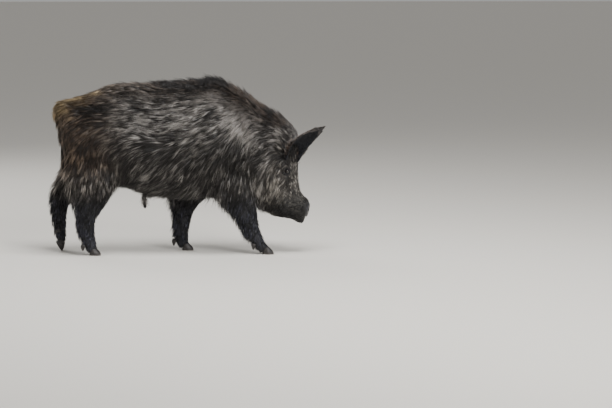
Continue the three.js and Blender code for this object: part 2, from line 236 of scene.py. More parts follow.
def neighbourMean(values, edges):
    count = len(values)
    total = np.empty_like(values)
    for k in range(values.shape[1]):
        total[:, k] = np.bincount(edges[:, 0], values[edges[:, 1], k], count)
        total[:, k] += np.bincount(edges[:, 1], values[edges[:, 0], k], count)
    degree = np.bincount(edges.ravel(), minlength=count)[:, None]
    return total / np.maximum(degree, 1)


def relax(points, edges, rounds, strength=0.5, back=0.0, only=1.0):
    # back pushes out again after each round, so that thin parts keep their girth
    for _ in range(rounds):
        points = points + strength * only * (neighbourMean(points, edges) - points)
        if back:
            points = points - back * only * (neighbourMean(points, edges) - points)
    return points


def ringQuads(rows, sides, flip=False, closed=True):
    # quads between closed rings of points; closed also joins the last ring to the first
    i = np.arange(sides)
    j = (i + 1) % sides
    quads = []
    for r in range(rows if closed else rows - 1):
        a, b = r * sides, ((r + 1) % rows) * sides
        corners = [a + i, a + j, b + j, b + i]
        if flip:
            corners = [a + j, a + i, b + i, b + j]
        quads.append(np.stack(corners, 1))
    return np.concatenate(quads)


def addPiece(name, mesh, material, slotName, *replaced):
    p = readPoints(mesh)
    p[:, 2] = np.maximum(p[:, 2], 0)  # nothing dips under the ground
    setPoints(mesh, p)
    piece = addObject(name, mesh)
    mesh.materials.clear()
    mesh.materials.append(material)
    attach(piece, "root")
    if replaced:
        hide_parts(*replaced)


def remesh(nodeNames, voxel):
    # one closed net of even squares round the named solids
    points, triangles, start = [], [], 0
    for nodeName in nodeNames:
        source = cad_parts[nodeName].data
        points.append(readPoints(source))
        triangles.append(readTriangles(source) + start)
        start += len(points[-1])
    raw = addObject("raw", makeMesh("raw", np.concatenate(points), np.concatenate(triangles)))
    modifier = raw.modifiers.new("voxels", "REMESH")
    modifier.mode = "VOXEL"
    modifier.voxel_size = voxel
    evaluated = raw.evaluated_get(bpy.context.evaluated_depsgraph_get())
    mesh = bpy.data.meshes.new_from_object(evaluated)
    bpy.data.objects.remove(raw)
    return mesh


# Materials, each with a painted tone that a mottle makes uneven: its size, darkest and lightest.
# A relief is a fine pattern that stands up from the surface. Sizes and heights are metres.
finishes = {
    # guard hair: horny and smooth, so each one carries a thin soft glint along it
    "guardHair": {
        "shader": {"Roughness": 0.48, "IOR": 1.55},
        "mottle": (0.004, 0.75, 1.2),
    },
    # hide under short hair: matt, with a felt of down that catches no sharp light
    "hairyHide": {
        "shader": {"Roughness": 0.72, "IOR": 1.45},
        "mottle": (0.006, 0.7, 1.25),
        "relief": {"kind": "ShaderNodeTexNoise", "size": 0.0016, "settings": {"Detail": 4.0},
                   "height": 0.0012, "strength": 0.7},
    },
    # bare nose: moist pebbled leather, with a soft wet sheen over a dark ground
    "moistLeather": {
        "shader": {"Roughness": 0.38, "IOR": 1.45, "Coat Weight": 0.25, "Coat Roughness": 0.25},
        "mottle": (0.005, 0.8, 1.2),
        "relief": {"kind": "ShaderNodeTexVoronoi", "size": 0.0017, "settings": {},
                   "height": 0.0005, "strength": 0.8},
    },
    # claw horn: dense and dull-polished, ringed where it grew and scuffed at the toe
    "clawHorn": {
        "shader": {"Roughness": 0.5, "IOR": 1.54},
        "mottle": (0.006, 0.7, 1.25),
        "relief": {"kind": "ShaderNodeTexNoise", "size": 0.0015, "settings": {"Detail": 5.0},
                   "height": 0.0004, "strength": 0.6},
    },
    # eyeball: brown iris under a wet clear cornea, which gives the one sharp highlight of the face
    "wetEyeball": {
        "shader": {"Roughness": 0.12, "IOR": 1.376, "Coat Weight": 1.0, "Coat Roughness": 0.03},
        "mottle": (0.0012, 0.8, 1.2),
    },
}


def addNode(material, kind, settings=None, links=None):
    node = material.node_tree.nodes.new(kind)
    for key, value in (settings or {}).items():
        if hasattr(node, key):
            setattr(node, key, value)
        else:
            node.inputs[key].default_value = value
    for socket, source in (links or {}).items():
        material.node_tree.links.new(source, node.inputs[socket])
    return node


def newMaterial(name, settings):
    material = bpy.data.materials.new(name)
    material.use_nodes = True
    shader = material.node_tree.nodes["Principled BSDF"]
    for key, value in settings.items():
        shader.inputs[key].default_value = value
    return material, shader


def makeFinish(name, cfg):
    material, shader = newMaterial(name, cfg["shader"])
    size, darkest, lightest = cfg["mottle"]
    tone = addNode(material, "ShaderNodeAttribute", {"attribute_name": "tone"})
    place = addNode(material, "ShaderNodeTexCoord").outputs["Object"]
    noise = addNode(material, "ShaderNodeTexNoise", {"Scale": 1 / size, "Detail": 3.0},
                    {"Vector": place})
    spread = addNode(material, "ShaderNodeMapRange", {"To Min": darkest, "To Max": lightest},
                     {"Value": noise.outputs["Fac"]})
    mottled = addNode(material, "ShaderNodeVectorMath", {"operation": "SCALE"},
                      {"Vector": tone.outputs["Color"], "Scale": spread.outputs["Result"]})
    material.node_tree.links.new(mottled.outputs["Vector"], shader.inputs["Base Color"])
    if "relief" in cfg:
        relief = cfg["relief"]
        settings = {"Scale": 1 / relief["size"], **relief["settings"]}
        pattern = addNode(material, relief["kind"], settings, {"Vector": place})
        settings = {"Distance": relief["height"], "Strength": relief["strength"]}
        bump = addNode(material, "ShaderNodeBump", settings, {"Height": pattern.outputs[0]})
        material.node_tree.links.new(bump.outputs["Normal"], shader.inputs["Normal"])
    return material


materials = {name: makeFinish(name, cfg) for name, cfg in finishes.items()}

# Which named part each place belongs to.
headNames = ["head", "lower_jaw"]
legNames = ["foreleg_left", "foreleg_right", "hindleg_left", "hindleg_right"]
regions = ["trunk", "neck", *headNames, "tail", *legNames]
regionBlend = 0.012  # metres over which one part's coat passes into the next one's
regionReach = 0.06  # metres from a part's box beyond which its surface isn't measured


def regionShares(points):
    distance = np.empty((len(points), len(regions)))
    vectors = [Vector(p) for p in points]
    for i, name in enumerate(regions):
        tree = treeOf(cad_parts[name].data)
        low, high = (np.array(v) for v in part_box(name))
        gap = np.linalg.norm(np.maximum(np.maximum(low - points, points - high), 0), axis=1)
        distance[:, i] = gap
        for j in np.nonzero(gap < regionReach)[0]:
            distance[j, i] = tree.find_nearest(vectors[j])[3]
    shares = np.exp(-(distance - distance.min(1, keepdims=True)) / regionBlend)
    return shares / shares.sum(1, keepdims=True)


def share(w, *names):
    return sum(w[:, regions.index(n)] for n in names)


# Places of the face. The mouth's line runs from the nose back, as x and z in the head's own frame.
eyeCentre = inHead([np.mean([np.array(v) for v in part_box("eye_right")], axis=0)])[0]
eyeRadius = 0.012
eyePlace = (eyeCentre[0], eyeCentre[2])
mouthLine = [(0.585, 0.146), (0.545, 0.168), (0.50, 0.194), (0.455, 0.216), (0.415, 0.236)]


def findNoseFrame():
    # middle, forward direction and upward direction of the nose disc, from its solid
    p = readPoints(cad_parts["nose_disc"].data)
    centre = (p.min(0) + p.max(0)) / 2
    axes = np.linalg.svd(p - p.mean(0))[2]
    normal = axes[2] * np.sign(axes[2][0])
    across = withHead([0, 1, 0])
    across = unit(across - normal * dot(across, normal))
    return {"centre": centre, "normal": normal, "across": across, "up": np.cross(normal, across)}


noseFrame = findNoseFrame()


def eyeGap(q):
    # metres from the eye's centre, seen from the side of the head
    return np.hypot(q[:, 0] - eyeCentre[0], q[:, 2] - eyeCentre[2])


def lipGap(q):
    # metres from the mouth's line, seen from the side of the head
    x, z = q[:, 0], q[:, 2]
    best = np.full(len(x), 9.0)
    for (ax, az), (bx, bz) in zip(mouthLine, mouthLine[1:]):
        dx, dz = bx - ax, bz - az
        t = np.clip(((x - ax) * dx + (z - az) * dz) / (dx * dx + dz * dz), 0, 1)
        best = np.minimum(best, np.hypot(x - ax - t * dx, z - az - t * dz))
    return best


def noseGap(p):
    # metres behind the plane of the nose disc
    return np.sum((noseFrame["centre"] - p) * noseFrame["normal"], axis=1)


def clearOfNose(p, low, high):
    # 0 at the nose disc and 1 well behind it; above the snout it is always 1
    return ramp(low, high, noseGap(p) + 0.1 * (p[:, 2] > 0.35))


# Coat: length, lift, thickness and number of the hairs over the body.
# length in metres, lift off the skin in degrees, radius of a bristle, tufts to the square metre
coats = {
    "body": {"length": 0.082, "lift": 11.5, "radius": 0.00080, "tufts": 15000},
    "head": {"length": 0.030, "lift": 12, "radius": 0.00070, "tufts": 19000},
    "leg": {"length": 0.030, "lift": 13, "radius": 0.00088, "tufts": 9900},
    "tail": {"length": 0.042, "lift": 12, "radius": 0.00090, "tufts": 10500},
}
# Mane and brush: where each one ends and where it is full.
crestSetup = {
    "fromMiddle": (0.075, 0.030),  # on the body, metres to either side
    "fromNape": (0.070, 0.028),  # the same on the turned neck, which begins at napeStart
    "napeStart": 0.32,
    "behind": (-0.38, 0.02),
    "ahead": (0.58, 0.52),
    "above": (0.48, 0.56),
}
brushSetup = {
    "at": (-0.21, 0.26),  # x and z
    "reach": (0.045, 0.04),  # along the body and across it
    "top": (0.275, 0.255),
    "loose": (0.08, 0.05),  # along the body and up, for the hair that hangs freely there
}


def coatGroups(w):
    return {
        "body": share(w, "trunk", "neck"),
        "head": share(w, *headNames),
        "leg": share(w, *legNames),
        "tail": share(w, "tail"),
    }


def crestShare(p, n):
    # 1 along the top of the neck, withers and fore back, where the mane grows
    cfg = crestSetup
    x, y, z = p.T
    narrow = ramp(*cfg["fromMiddle"], np.abs(y - middleY)) * ramp(0.2, 0.7, n[:, 2])
    nape = ramp(*cfg["fromNape"], np.abs(inHead(p)[:, 1])) * ramp(-0.1, 0.4, n[:, 2])
    narrow = np.where(x > cfg["napeStart"], nape, narrow)
    return narrow * ramp(*cfg["behind"], x) * ramp(*cfg["ahead"], x) * ramp(*cfg["above"], z)


def pollShare(q):
    # 1 on the top of the head between the ears, where the hair turns over backwards
    return blob(q[:, 0], q[:, 2], (0.515, 0.590), (0.050, 0.040))


def brushShare(p):
    # 1 on the hanging brush of the sheath
    cfg = brushSetup
    around = blob(p[:, 0], p[:, 1] - middleY, (cfg["at"][0], 0), cfg["reach"])
    return around * ramp(*cfg["top"], p[:, 2])


# What each place does to the coat there, as factors.
coatChanges = {
    "mane": {"length": 0.90, "lift": 2.0, "tufts": 1.15},
    "underside": {"length": 1.1, "lift": 1.6},  # hangs from belly and throat
    "haunch": {"length": 0.75},
    "neck": {"length": 1.1, "lift": 1.15},
    "elbow": {"length": 1.25, "lift": 1.2},
    "brush": {"length": 0.5, "lift": 1.3, "tufts": 2.4},
    "ruff": {"length": 1.9, "lift": 1.2, "radius": 1.25, "tufts": 0.7},  # cheek and jaw
    "poll": {"length": 0.9, "lift": 0.55, "tufts": 2.4},
    "brow": {"length": 1.6, "lift": 1.3, "radius": 1.2},
    "snout": {"length": 0.5, "lift": 0.9, "radius": 0.8, "tufts": 1.3},
    "eye": {"length": 0.5, "radius": 0.8},
    "upperLeg": {"length": 1.9, "lift": 1.2, "radius": 1.25, "tufts": 0.85},
    "pastern": {"length": 0.65, "lift": 0.8, "radius": 0.8},
    "tassel": {"length": 1.5},
    "tailRoot": {"length": 1.3, "lift": 1.3},
}


def coatPlaces(p, n, w):
    # where each change applies, from 0 to 1
    x, z = p[:, 0], p[:, 2]
    q = inHead(p)
    hx, hz = q[:, 0], q[:, 2]
    body, head, leg, tail = coatGroups(w).values()
    return {
        "mane": crestShare(p, n),
        "underside": body * ramp(-0.3, -0.8, n[:, 2]),
        "haunch": body * ramp(-0.38, -0.52, x),
        "neck": body * blob(x, z, (0.32, 0.52), (0.14, 0.2)),
        "elbow": body * blob(x, z, (0.06, 0.33), (0.12, 0.08)),
        "brush": brushShare(p),
        "ruff": head * ramp(0.47, 0.40, hx - 0.35 * (hz - 0.30)),
        "poll": pollShare(q),
        "brow": head * blob(hx, hz, (0.515, 0.50), (0.05, 0.06)),
        "snout": head * ramp(0.36, 0.24, hz) * ramp(0.49, 0.55, hx),
        "eye": head * blob(hx, hz, eyePlace, (0.03, 0.03)),
        "upperLeg": leg * ramp(0.20, 0.38, z),
        "pastern": leg * ramp(0.11, 0.04, z),
        "tassel": tail * ramp(0.58, 0.48, z),
        "tailRoot": tail * ramp(0.66, 0.72, z),
    }


def coatShape(p, n, w):
    g = coatGroups(w)
    shape = {key: sum(g[k] * coats[k][key] for k in g) for key in coats["body"]}
    for name, where in coatPlaces(p, n, w).items():
        for key, factor in coatChanges[name].items():
            shape[key] = shape[key] * (1 + (factor - 1) * where)
    return shape


def addFringes(shape, p, n, w):
    # longer hair that stands clear of the form, behind the legs, and less of it on the hind ones
    behind = share(w, *legNames) * ramp(0.1, -0.7, n[:, 0]) * ramp(0.05, 0.12, p[:, 2])
    behind = behind * (1 - 0.55 * ramp(-0.30, -0.56, p[:, 0]))
    shape["length"] = shape["length"] * (1 + 0.9 * behind)
    shape["lift"] = shape["lift"] * (1 + 1.1 * behind)


def coatDepth(p, n, w):
    # how deep the skin lies under the tips of the hair
    shape = coatShape(p, n, w)
    depth = shape["length"] * np.sin(np.radians(shape["lift"])) + shape["radius"]
    # no hair from ahead covers the nape
    depth *= 1 - 0.7 * crestShare(p, n) * ramp(0.36, 0.47, p[:, 0])
    depth *= clearOfNose(p, 0.004, 0.040)
    return 0.0004 + depth * ramp(0.028, 0.055, p[:, 2])  # shallow again at the feet


# Lie of the hair seen from the boar's side: place [x, z], direction [x, z], reach of that place.
lies = {
    "body": [
        ((0.50, 0.60), (-0.85, 0.15), 0.10),  # crest behind the ears
        ((0.36, 0.72), (-0.85, 0.30), 0.10),
        ((0.16, 0.84), (-1.00, -0.05), 0.12),  # withers
        ((-0.30, 0.82), (-1.00, -0.10), 0.20),  # back
        ((-0.56, 0.74), (-1.00, -0.35), 0.10),  # croup
        ((0.42, 0.52), (-0.75, -0.55), 0.10),  # side of the neck
        ((0.34, 0.36), (-0.45, -0.90), 0.10),  # throat
        ((0.28, 0.66), (-0.60, -0.75), 0.10),
        ((0.26, 0.50), (-0.25, -0.97), 0.12),  # shoulder, nearly upright
        ((0.14, 0.66), (-0.85, -0.50), 0.10),
        ((0.00, 0.72), (-1.00, -0.12), 0.12),
        ((-0.12, 0.62), (-0.98, 0.06), 0.12),  # ribs, swept back almost level
        ((-0.05, 0.48), (-0.80, -0.60), 0.12),
        ((0.08, 0.40), (-0.50, -0.85), 0.10),  # behind the elbow
        ((-0.10, 0.34), (-0.65, -0.75), 0.12),
        ((-0.28, 0.42), (-0.50, -0.87), 0.10),  # fold of the flank
        ((-0.30, 0.60), (-0.90, -0.40), 0.12),
        ((-0.42, 0.71), (-1.00, -0.12), 0.10),  # hollow over the hip
        ((-0.48, 0.55), (-0.65, -0.75), 0.12),
        ((-0.50, 0.40), (-0.30, -0.95), 0.12),  # thigh
        ((-0.60, 0.60), (-0.35, -0.95), 0.10),  # buttock
        ((0.00, 0.25), (-0.90, -0.35), 0.08),  # belly line
        (brushSetup["at"], (-0.15, -1.00), 0.050),  # brush of the sheath
    ],
    "head": [
        ((0.58, 0.22), (-0.55, 0.60), 0.05),  # muzzle, swept back up the face
        ((0.54, 0.30), (-0.35, 0.90), 0.06),
        ((0.54, 0.42), (-0.25, 1.00), 0.07),  # forehead
        ((0.53, 0.52), (-0.60, 0.80), 0.06),  # between the ears
        ((0.49, 0.35), (-0.70, -0.50), 0.05),  # below the eye
        ((0.47, 0.44), (-0.55, -0.80), 0.05),  # behind the eye
        ((0.43, 0.40), (-0.40, -0.90), 0.07),  # cheek
        ((0.43, 0.31), (-0.30, -0.95), 0.07),
        ((0.47, 0.24), (-0.50, -0.85), 0.06),  # jaw ruff
        ((0.54, 0.18), (-0.90, -0.10), 0.04),  # lips
        ((0.38, 0.26), (-0.35, -0.95), 0.06),
    ],
    "leg": [((0.0, 0.35), (-0.22, -1.0), 0.3), ((0.0, 0.10), (-0.12, -1.0), 0.3)],
    "tail": [((-0.60, 0.75), (-0.9, -0.5), 0.04), ((-0.62, 0.60), (0.05, -1.0), 0.10)],
}
swirls = ((0.24, 0.10, 3), (0.09, 0.035, 4))  # radians that the hair turns, metres across, seed


def comb(p, rows):
    total = np.zeros((len(p), 3))
    for at, to, reach in rows:
        far = ((p[:, 0] - at[0]) ** 2 + (p[:, 2] - at[1]) ** 2) / reach**2
        weight = 1 / (far + 0.05) ** 2 / math.hypot(*to)
        total[:, 0] += weight * to[0]
        total[:, 2] += weight * to[1]
    return unit(total)


def lieOf(p, n, w):
    # direction of the hair along the skin, with slow swirls so that no two patches run alike
    g = coatGroups(w)
    way = g["head"][:, None] * withHead(comb(inHead(p), lies["head"]))
    for key in ("body", "leg", "tail"):
        way += g[key][:, None] * comb(p, lies[key])
    way = unit(way - n * dot(way, n))
    swirl = sum(turn * waves(p, size, seed) for turn, size, seed in swirls)
    swirl *= 1 - 0.5 * (g["head"] + g["leg"])
    return way * np.cos(swirl)[:, None] + np.cross(n, way) * np.sin(swirl)[:, None]


# Markings and painted light and shade, the same for skin and coat.
hairColours = {
    "root": "#0f0d0d",
    "shaft": "#1c1918",
    "tip": "#dad4ce",
    "brownShaft": "#251c18",
    "brownTip": "#a08a75",
    # tan of the croup's top, which also stands in for painted rim light
    "tanShaft": "#6d5a3c",
    "tanTip": "#b8a278",
    "maneShaft": "#171312",
    "maneTip": "#51443a",
    "legShaft": "#0f0f12",
    "legTip": "#4b4c5c",
    "faceShaft": "#221d1b",
    "faceTip": "#cbc4ba",
    "snoutShaft": "#1d1b1a",
    "snoutTip": "#7d7a72",
    "earInsideAndShade": "#10121a",
    "lips": "#0d0c0f",
}
hair = {key: hexColour(value) for key, value in hairColours.items()}
# Patches where more (+) or fewer (-) of the tufts have light tips: place and reach [x, z], strength.
# Some are the coat's own markings, some are painted light and shade.
bodyPatches = {
    # the shoulder's light tips: partly its own grizzle, partly painted light where the shoulder is
    # lit
    "shoulderFrostAndLight": ((0.29, 0.64), (0.10, 0.13), 0.70),
    "withersFrost": ((0.13, 0.76), (0.12, 0.055), 0.50),
    "ribFrost": ((-0.10, 0.63), (0.13, 0.07), 0.25),
    # painted shade low on the shoulder, behind the elbow, low on the ribs, in the flank's fold and
    # under the belly
    "lowShoulderShade": ((0.25, 0.50), (0.12, 0.10), -1.00),
    "elbowShade": ((0.10, 0.38), (0.13, 0.12), -0.45),
    "ribShade": ((-0.09, 0.51), (0.15, 0.06), -0.55),
    "flankShade": ((-0.32, 0.38), (0.08, 0.14), -0.60),
    "bellyShade": ((-0.05, 0.29), (0.32, 0.12), -0.55),
    # painted shade in the hollow over the hip
    "hipHollowShade": ((-0.41, 0.712), (0.090, 0.030), -1.20),
    "haunchShade": ((-0.50, 0.55), (0.10, 0.12), -0.25),
    "thighFrost": ((-0.46, 0.40), (0.05, 0.07), 0.15),
    "thighShade": ((-0.48, 0.30), (0.12, 0.06), -0.80),
    "maneShade": ((0.18, 0.85), (0.16, 0.050), -1.50),
    "backFrost": ((-0.16, 0.82), (0.20, 0.05), 0.12),
}
# Head patches as for the body. Low on the cheek, under the chin and low on the muzzle they are
# painted shade.
headPatches = {
    "cheekFrost": ((0.42, 0.34), (0.05, 0.11), 0.20),
    "foreheadFrost": ((0.535, 0.36), (0.030, 0.08), 0.10),
    # dark hair of the temple, with painted shade under the ear
    "templeDarkAndShade": ((0.525, 0.49), (0.045, 0.055), -1.20),
    "tearLine": ((0.503, 0.375), (0.010, 0.055), -1.00),
    "lowCheekShade": ((0.44, 0.25), (0.06, 0.040), -0.50),
    "chinShade": ((0.530, 0.165), (0.075, 0.035), -1.10),
    "muzzleShade": ((0.592, 0.20), (0.034, 0.07), -1.20),
}
# Share of the tufts that are frosted, that is, have light tips, and how unevenly they stand.
frostSetup = {
    "share": 0.34,
    "least": 0.12,
    "most": 0.92,
    "patches": ((0.22, 0.055, 5), (0.22, 0.020, 6)),  # change of the share, metres across, seed
    "onTanAndRimLight": 0.5,
    "onMane": -0.1,
    # dark along the mouth: the lips' dark hair and painted shade in the mouth's crease
    "onLips": -1.1,
    "lipReach": 0.022,
}


def hairTones(p, n, w):
    # colours of the shafts and of the light tips, and the share of tufts that are frosted
    cfg = frostSetup
    g = coatGroups(w)
    x, y, z = p.T
    q = inHead(p)
    hx, hz = q[:, 0], q[:, 2]
    head = g["head"]
    shaft, tip = flatTone(hair["shaft"], len(p)), flatTone(hair["tip"], len(p))

    def tint(name, where):
        nonlocal shaft, tip
        shaft = mix(shaft, hair[name + "Shaft"], where)
        tip = mix(tip, hair[name + "Tip"], where)

    crest = crestShare(p, n)
    tint("brown", ramp(-0.20, -0.48, x) * (0.25 + 0.75 * ramp(0.36, 0.50, z)))  # hindquarters
    tint("brown", 0.7 * blob(x, z, (-0.15, 0.82), (0.25, 0.06)))  # back
    crestWide = ramp(0.12, 0.04, np.abs(y - middleY)) * ramp(0.0, 0.5, n[:, 2])
    crestWide = np.maximum(crestWide * ramp(-0.36, -0.05, x), crest)
    tint("mane", crestWide)
    # tan along the top of the croup: partly tan hair, partly painted rim light along that edge
    backLine = 0.705 + 0.15 * ramp(-0.62, -0.28, x)  # height below which the croup isn't tan
    tan = ramp(-0.06, 0.04, z - backLine + 0.03 * waves(p, 0.03, 8)) * ramp(-0.20, -0.46, x)
    tan = np.maximum(tan, g["tail"] * ramp(0.64, 0.72, z))
    tint("tan", 0.85 * tan)
    tint("face", head * (1 - 0.6 * crest))
    tint("snout", 0.9 * head * ramp(0.33, 0.24, hz))
    tint("leg", g["leg"] * ramp(0.37, 0.25, z))
    frost = cfg["share"] + cfg["onTanAndRimLight"] * tan + cfg["onMane"] * crestWide
    frost += head * cfg["onLips"] * hump(lipGap(q), 0, cfg["lipReach"])
    for change, size, seed in cfg["patches"]:
        frost += change * waves(p, size, seed)
    for at, reach, strength in bodyPatches.values():
        frost += (1 - head) * strength * blob(x, z, at, reach)
    for at, reach, strength in headPatches.values():
        frost += head * strength * blob(hx, hz, at, reach)
    # this deepens the painted shade of the dark patches
    dark = np.clip(-1.4 * frost - 0.1, 0, 0.85)  # where no tuft would be light, all of them darken
    shaft, tip = mix(shaft, hair["root"], dark), mix(tip, hair["maneShaft"], dark)
    return shaft, tip, np.clip(frost, cfg["least"], cfg["most"])


# Skin: the parts of flesh joined, drawn in under the coat, with the face worked finer.
skinSetup = {
    "voxel": 0.0070,
    "evening": 12,  # rounds that even out the voxels' steps
    "headEvening": 8,  # the same on the head, once its net is halved
    "insetSteps": 6,
    "roundEye": 0.045,  # metres within which the net is halved again
    "roundMouth": 0.016,
}
# The snout's blunt end is drawn to a collar round the nose disc.
collarSetup = {"long": 0.045, "gap": 0.001, "halfWide": 0.0465, "halfHigh": 0.0395, "reach": 0.09}
# Folds of the face, in metres. "At" is the distance from the eye or from the mouth's line.
faceSetup = {
    "mouthDeep": 0.0040,
    "mouthHalf": 0.0032,
    "lipHigh": 0.0014,
    "lipAt": 0.009,
    "lipHalf": 0.004,
    "lidFoldHigh": 0.0015,
    "lidFoldAt": (0.022, 0.033),  # where the folds under the eye start and where they are highest
    "lidFoldStep": 0.0035,
    "browHigh": 0.0035,
    "browAt": 0.026,
    "foldReach": 0.010,
    "wrinkleHigh": 0.0011,
    "wrinkleStep": 0.0030,
    "wrinkleSkew": 50,  # turns each wrinkle aslant over the snout
    "uneven": (0.0008, 0.012, 21),  # height, metres across, seed
}


def keepShares(mesh, w):
    for i, name in enumerate(regions):
        layer = mesh.attributes.new(name, "FLOAT", "POINT")
        layer.data.foreach_set("value", w[:, i].astype(np.float32))


def readShares(mesh):
    columns = [readRows(mesh.attributes[name].data, "value", 1, np.float32) for name in regions]
    w = np.stack(columns, 1).astype(float)
    return w / w.sum(1, keepdims=True)


def readSkin(mesh):
    return readPoints(mesh), readNormals(mesh), readShares(mesh)


def refine(mesh, wanted):
    # halves the net's squares where both ends of an edge are wanted
    e = readEdges(mesh)
    picked = np.nonzero(wanted[e[:, 0]] & wanted[e[:, 1]])[0]
    net = bmesh.new()
    net.from_mesh(mesh)
    net.edges.ensure_lookup_table()
    edges = [net.edges[i] for i in picked]
    bmesh.ops.subdivide_edges(net, edges=edges, cuts=1, use_grid_fill=True)
    net.to_mesh(mesh)
    net.free()
    mesh.update()


def sculptHead(mesh):
    # folds of the face, pressed in (-) or raised (+) along the skin's normals
    cfg = faceSetup
    p, n, w = readSkin(mesh)
    q = inHead(p)
    head = share(w, *headNames)
    side = ramp(0.15, 0.45, np.abs(n[:, 1]))
    lip, away, along = lipGap(q), eyeGap(q), noseGap(p)
    below = side * ramp(0.005, -0.012, q[:, 2] - eyeCentre[2])
    above = side - below
    move = -cfg["mouthDeep"] * hump(lip, 0, cfg["mouthHalf"]) * side
    move += cfg["lipHigh"] * hump(lip, cfg["lipAt"], cfg["lipHalf"]) * side
    start, highest = cfg["lidFoldAt"]
    folds = np.sin((away - start) / cfg["lidFoldStep"]) * hump(away, highest, cfg["foldReach"])
    move += cfg["lidFoldHigh"] * below * folds
    move += cfg["browHigh"] * above * hump(away, cfg["browAt"], cfg["foldReach"])
    ring = ramp(0.070, 0.035, along) * ramp(0.0, 0.008, along) * ramp(-0.4, 0.3, n[:, 2])
    wrinkles = np.sin(along / cfg["wrinkleStep"] + cfg["wrinkleSkew"] * q[:, 1])
    move += cfg["wrinkleHigh"] * wrinkles * ring  # over the top of the snout, behind the nose
    high, size, seed = cfg["uneven"]
    move += high * waves(p, size, seed) * head
    setPoints(mesh, p + n * (move * head)[:, None])


def meetNose(p):
    # draws the blunt end of the snout forward and out to the collar
    cfg, f = collarSetup, noseFrame
    d = p - f["centre"]
    along, a, b = d @ f["normal"], d @ f["across"], d @ f["up"]
    near = (along > -cfg["long"]) & (np.hypot(a, b) < cfg["reach"])
    reach = along[near].max() + cfg["long"]
    part = np.clip((along + cfg["long"]) / reach, 0, 1) * near
    forward = -cfg["long"] + part * (cfg["long"] - cfg["gap"]) - along
    radius = np.hypot(a / cfg["halfWide"], b / cfg["halfHigh"])
    outward = np.clip(1.0 / np.maximum(radius, 0.3) - 1, -0.05, 0.25)
    outward *= ramp(0.45, 0.8, radius) * ramp(0.1, 0.9, part)
    plane = a[:, None] * f["across"] + b[:, None] * f["up"]
    return p + (forward * near)[:, None] * f["normal"] + plane * outward[:, None]


def buildSkin():
    cfg = skinSetup
    mesh = remesh(regions, cfg["voxel"])
    edges = readEdges(mesh)
    p = relax(readPoints(mesh), edges, cfg["evening"], 0.5, 0.52)
    setPoints(mesh, p)
    w = regionShares(p)
    keepShares(mesh, w)
    say(f"net of {len(p)} points round the flesh")
    depth = coatDepth(p, readNormals(mesh), w)
    depth = relax(depth[:, None], edges, 3) / cfg["insetSteps"]
    for _ in range(cfg["insetSteps"]):
        p = relax(p - readNormals(mesh) * depth, edges, 1, 0.35)
        setPoints(mesh, p)
    refine(mesh, share(w, *headNames) > 0.4)
    q = inHead(readPoints(mesh))
    fine = (eyeGap(q) < cfg["roundEye"]) | (lipGap(q) < cfg["roundMouth"])
    refine(mesh, fine & (share(readShares(mesh), *headNames) > 0.5))
    soft = share(readShares(mesh), *headNames)[:, None]
    p = relax(readPoints(mesh), readEdges(mesh), cfg["headEvening"], 0.5, 0.5, soft)
    setPoints(mesh, meetNose(p))
    sculptHead(mesh)
    smooth(mesh)
    return mesh


skinMesh = buildSkin()
skinTree = treeOf(skinMesh)
say(f"skin of {len(skinMesh.polygons)} faces")


# Ears: thin leaves of skin, rooted deep in the head's hair.
earSetup = {
    "voxel": 0.0024,
    "inset": 0.0012,
    "rootLength": 0.030,
    "rootIn": 0.016,
    "axis": (0.42, 0.05, 0.907),  # of the left ear, from root to tip
    "mouth": (0.62, 0.66, -0.42),  # the way that its opening looks
    "tufts": 30000,
    "perTuft": 5,
    "hair": 0.019,
    "radius": 0.00065,
    "lift": (15, 34),  # degrees everywhere, and more at the root of the back
    "spread": 3.0,
    "seed": 43,
}


def earFrame(sideName):
    side = 1 if sideName == "left" else -1
    axis = unit(withHead(np.array(earSetup["axis"]) * (1, side, 1)))
    mouth = withHead(np.array(earSetup["mouth"]) * (1, side, 1))
    mouth = unit(mouth - axis * dot(mouth, axis))
    return side, axis, mouth


def buildEar(sideName):
    cfg = earSetup
    side, axis, _ = earFrame(sideName)
    mesh = remesh([f"ear_{sideName}"], cfg["voxel"])
    p = relax(readPoints(mesh), readEdges(mesh), 8, 0.5, 0.5)
    setPoints(mesh, p)
    p = p - readNormals(mesh) * cfg["inset"]
    along = p @ axis
    part = (along - along.min()) / np.ptp(along)
    root = 1 - ramp(0.0, 0.35, part)[:, None]
    p = p - root * cfg["rootLength"] * axis + root**2 * cfg["rootIn"] * withHead([0, -side, 0])
    setPoints(mesh, p)
    smooth(mesh)
    return mesh, part


def earTones(n, sideName, part):
    # dark bluish inside, partly its dark hair and partly painted shade in the ear's hollow, grizzled
    # on the back, darkening to the tip
    _, _, mouth = earFrame(sideName)
    inside = ramp(-0.1, 0.35, n @ mouth)
    shaft = mix(flatTone(hair["faceShaft"], len(n)), hair["earInsideAndShade"], inside)
    tip = mix(flatTone(hair["maneTip"] * 1.7, len(n)), hair["earInsideAndShade"] * 1.5, inside)
    tip = mix(tip, hair["maneShaft"], 0.8 * ramp(0.55, 0.95, part))
    return shaft, tip, 0.5 - 0.3 * inside


ears = {sideName: buildEar(sideName) for sideName in ("left", "right")}
say("ears")


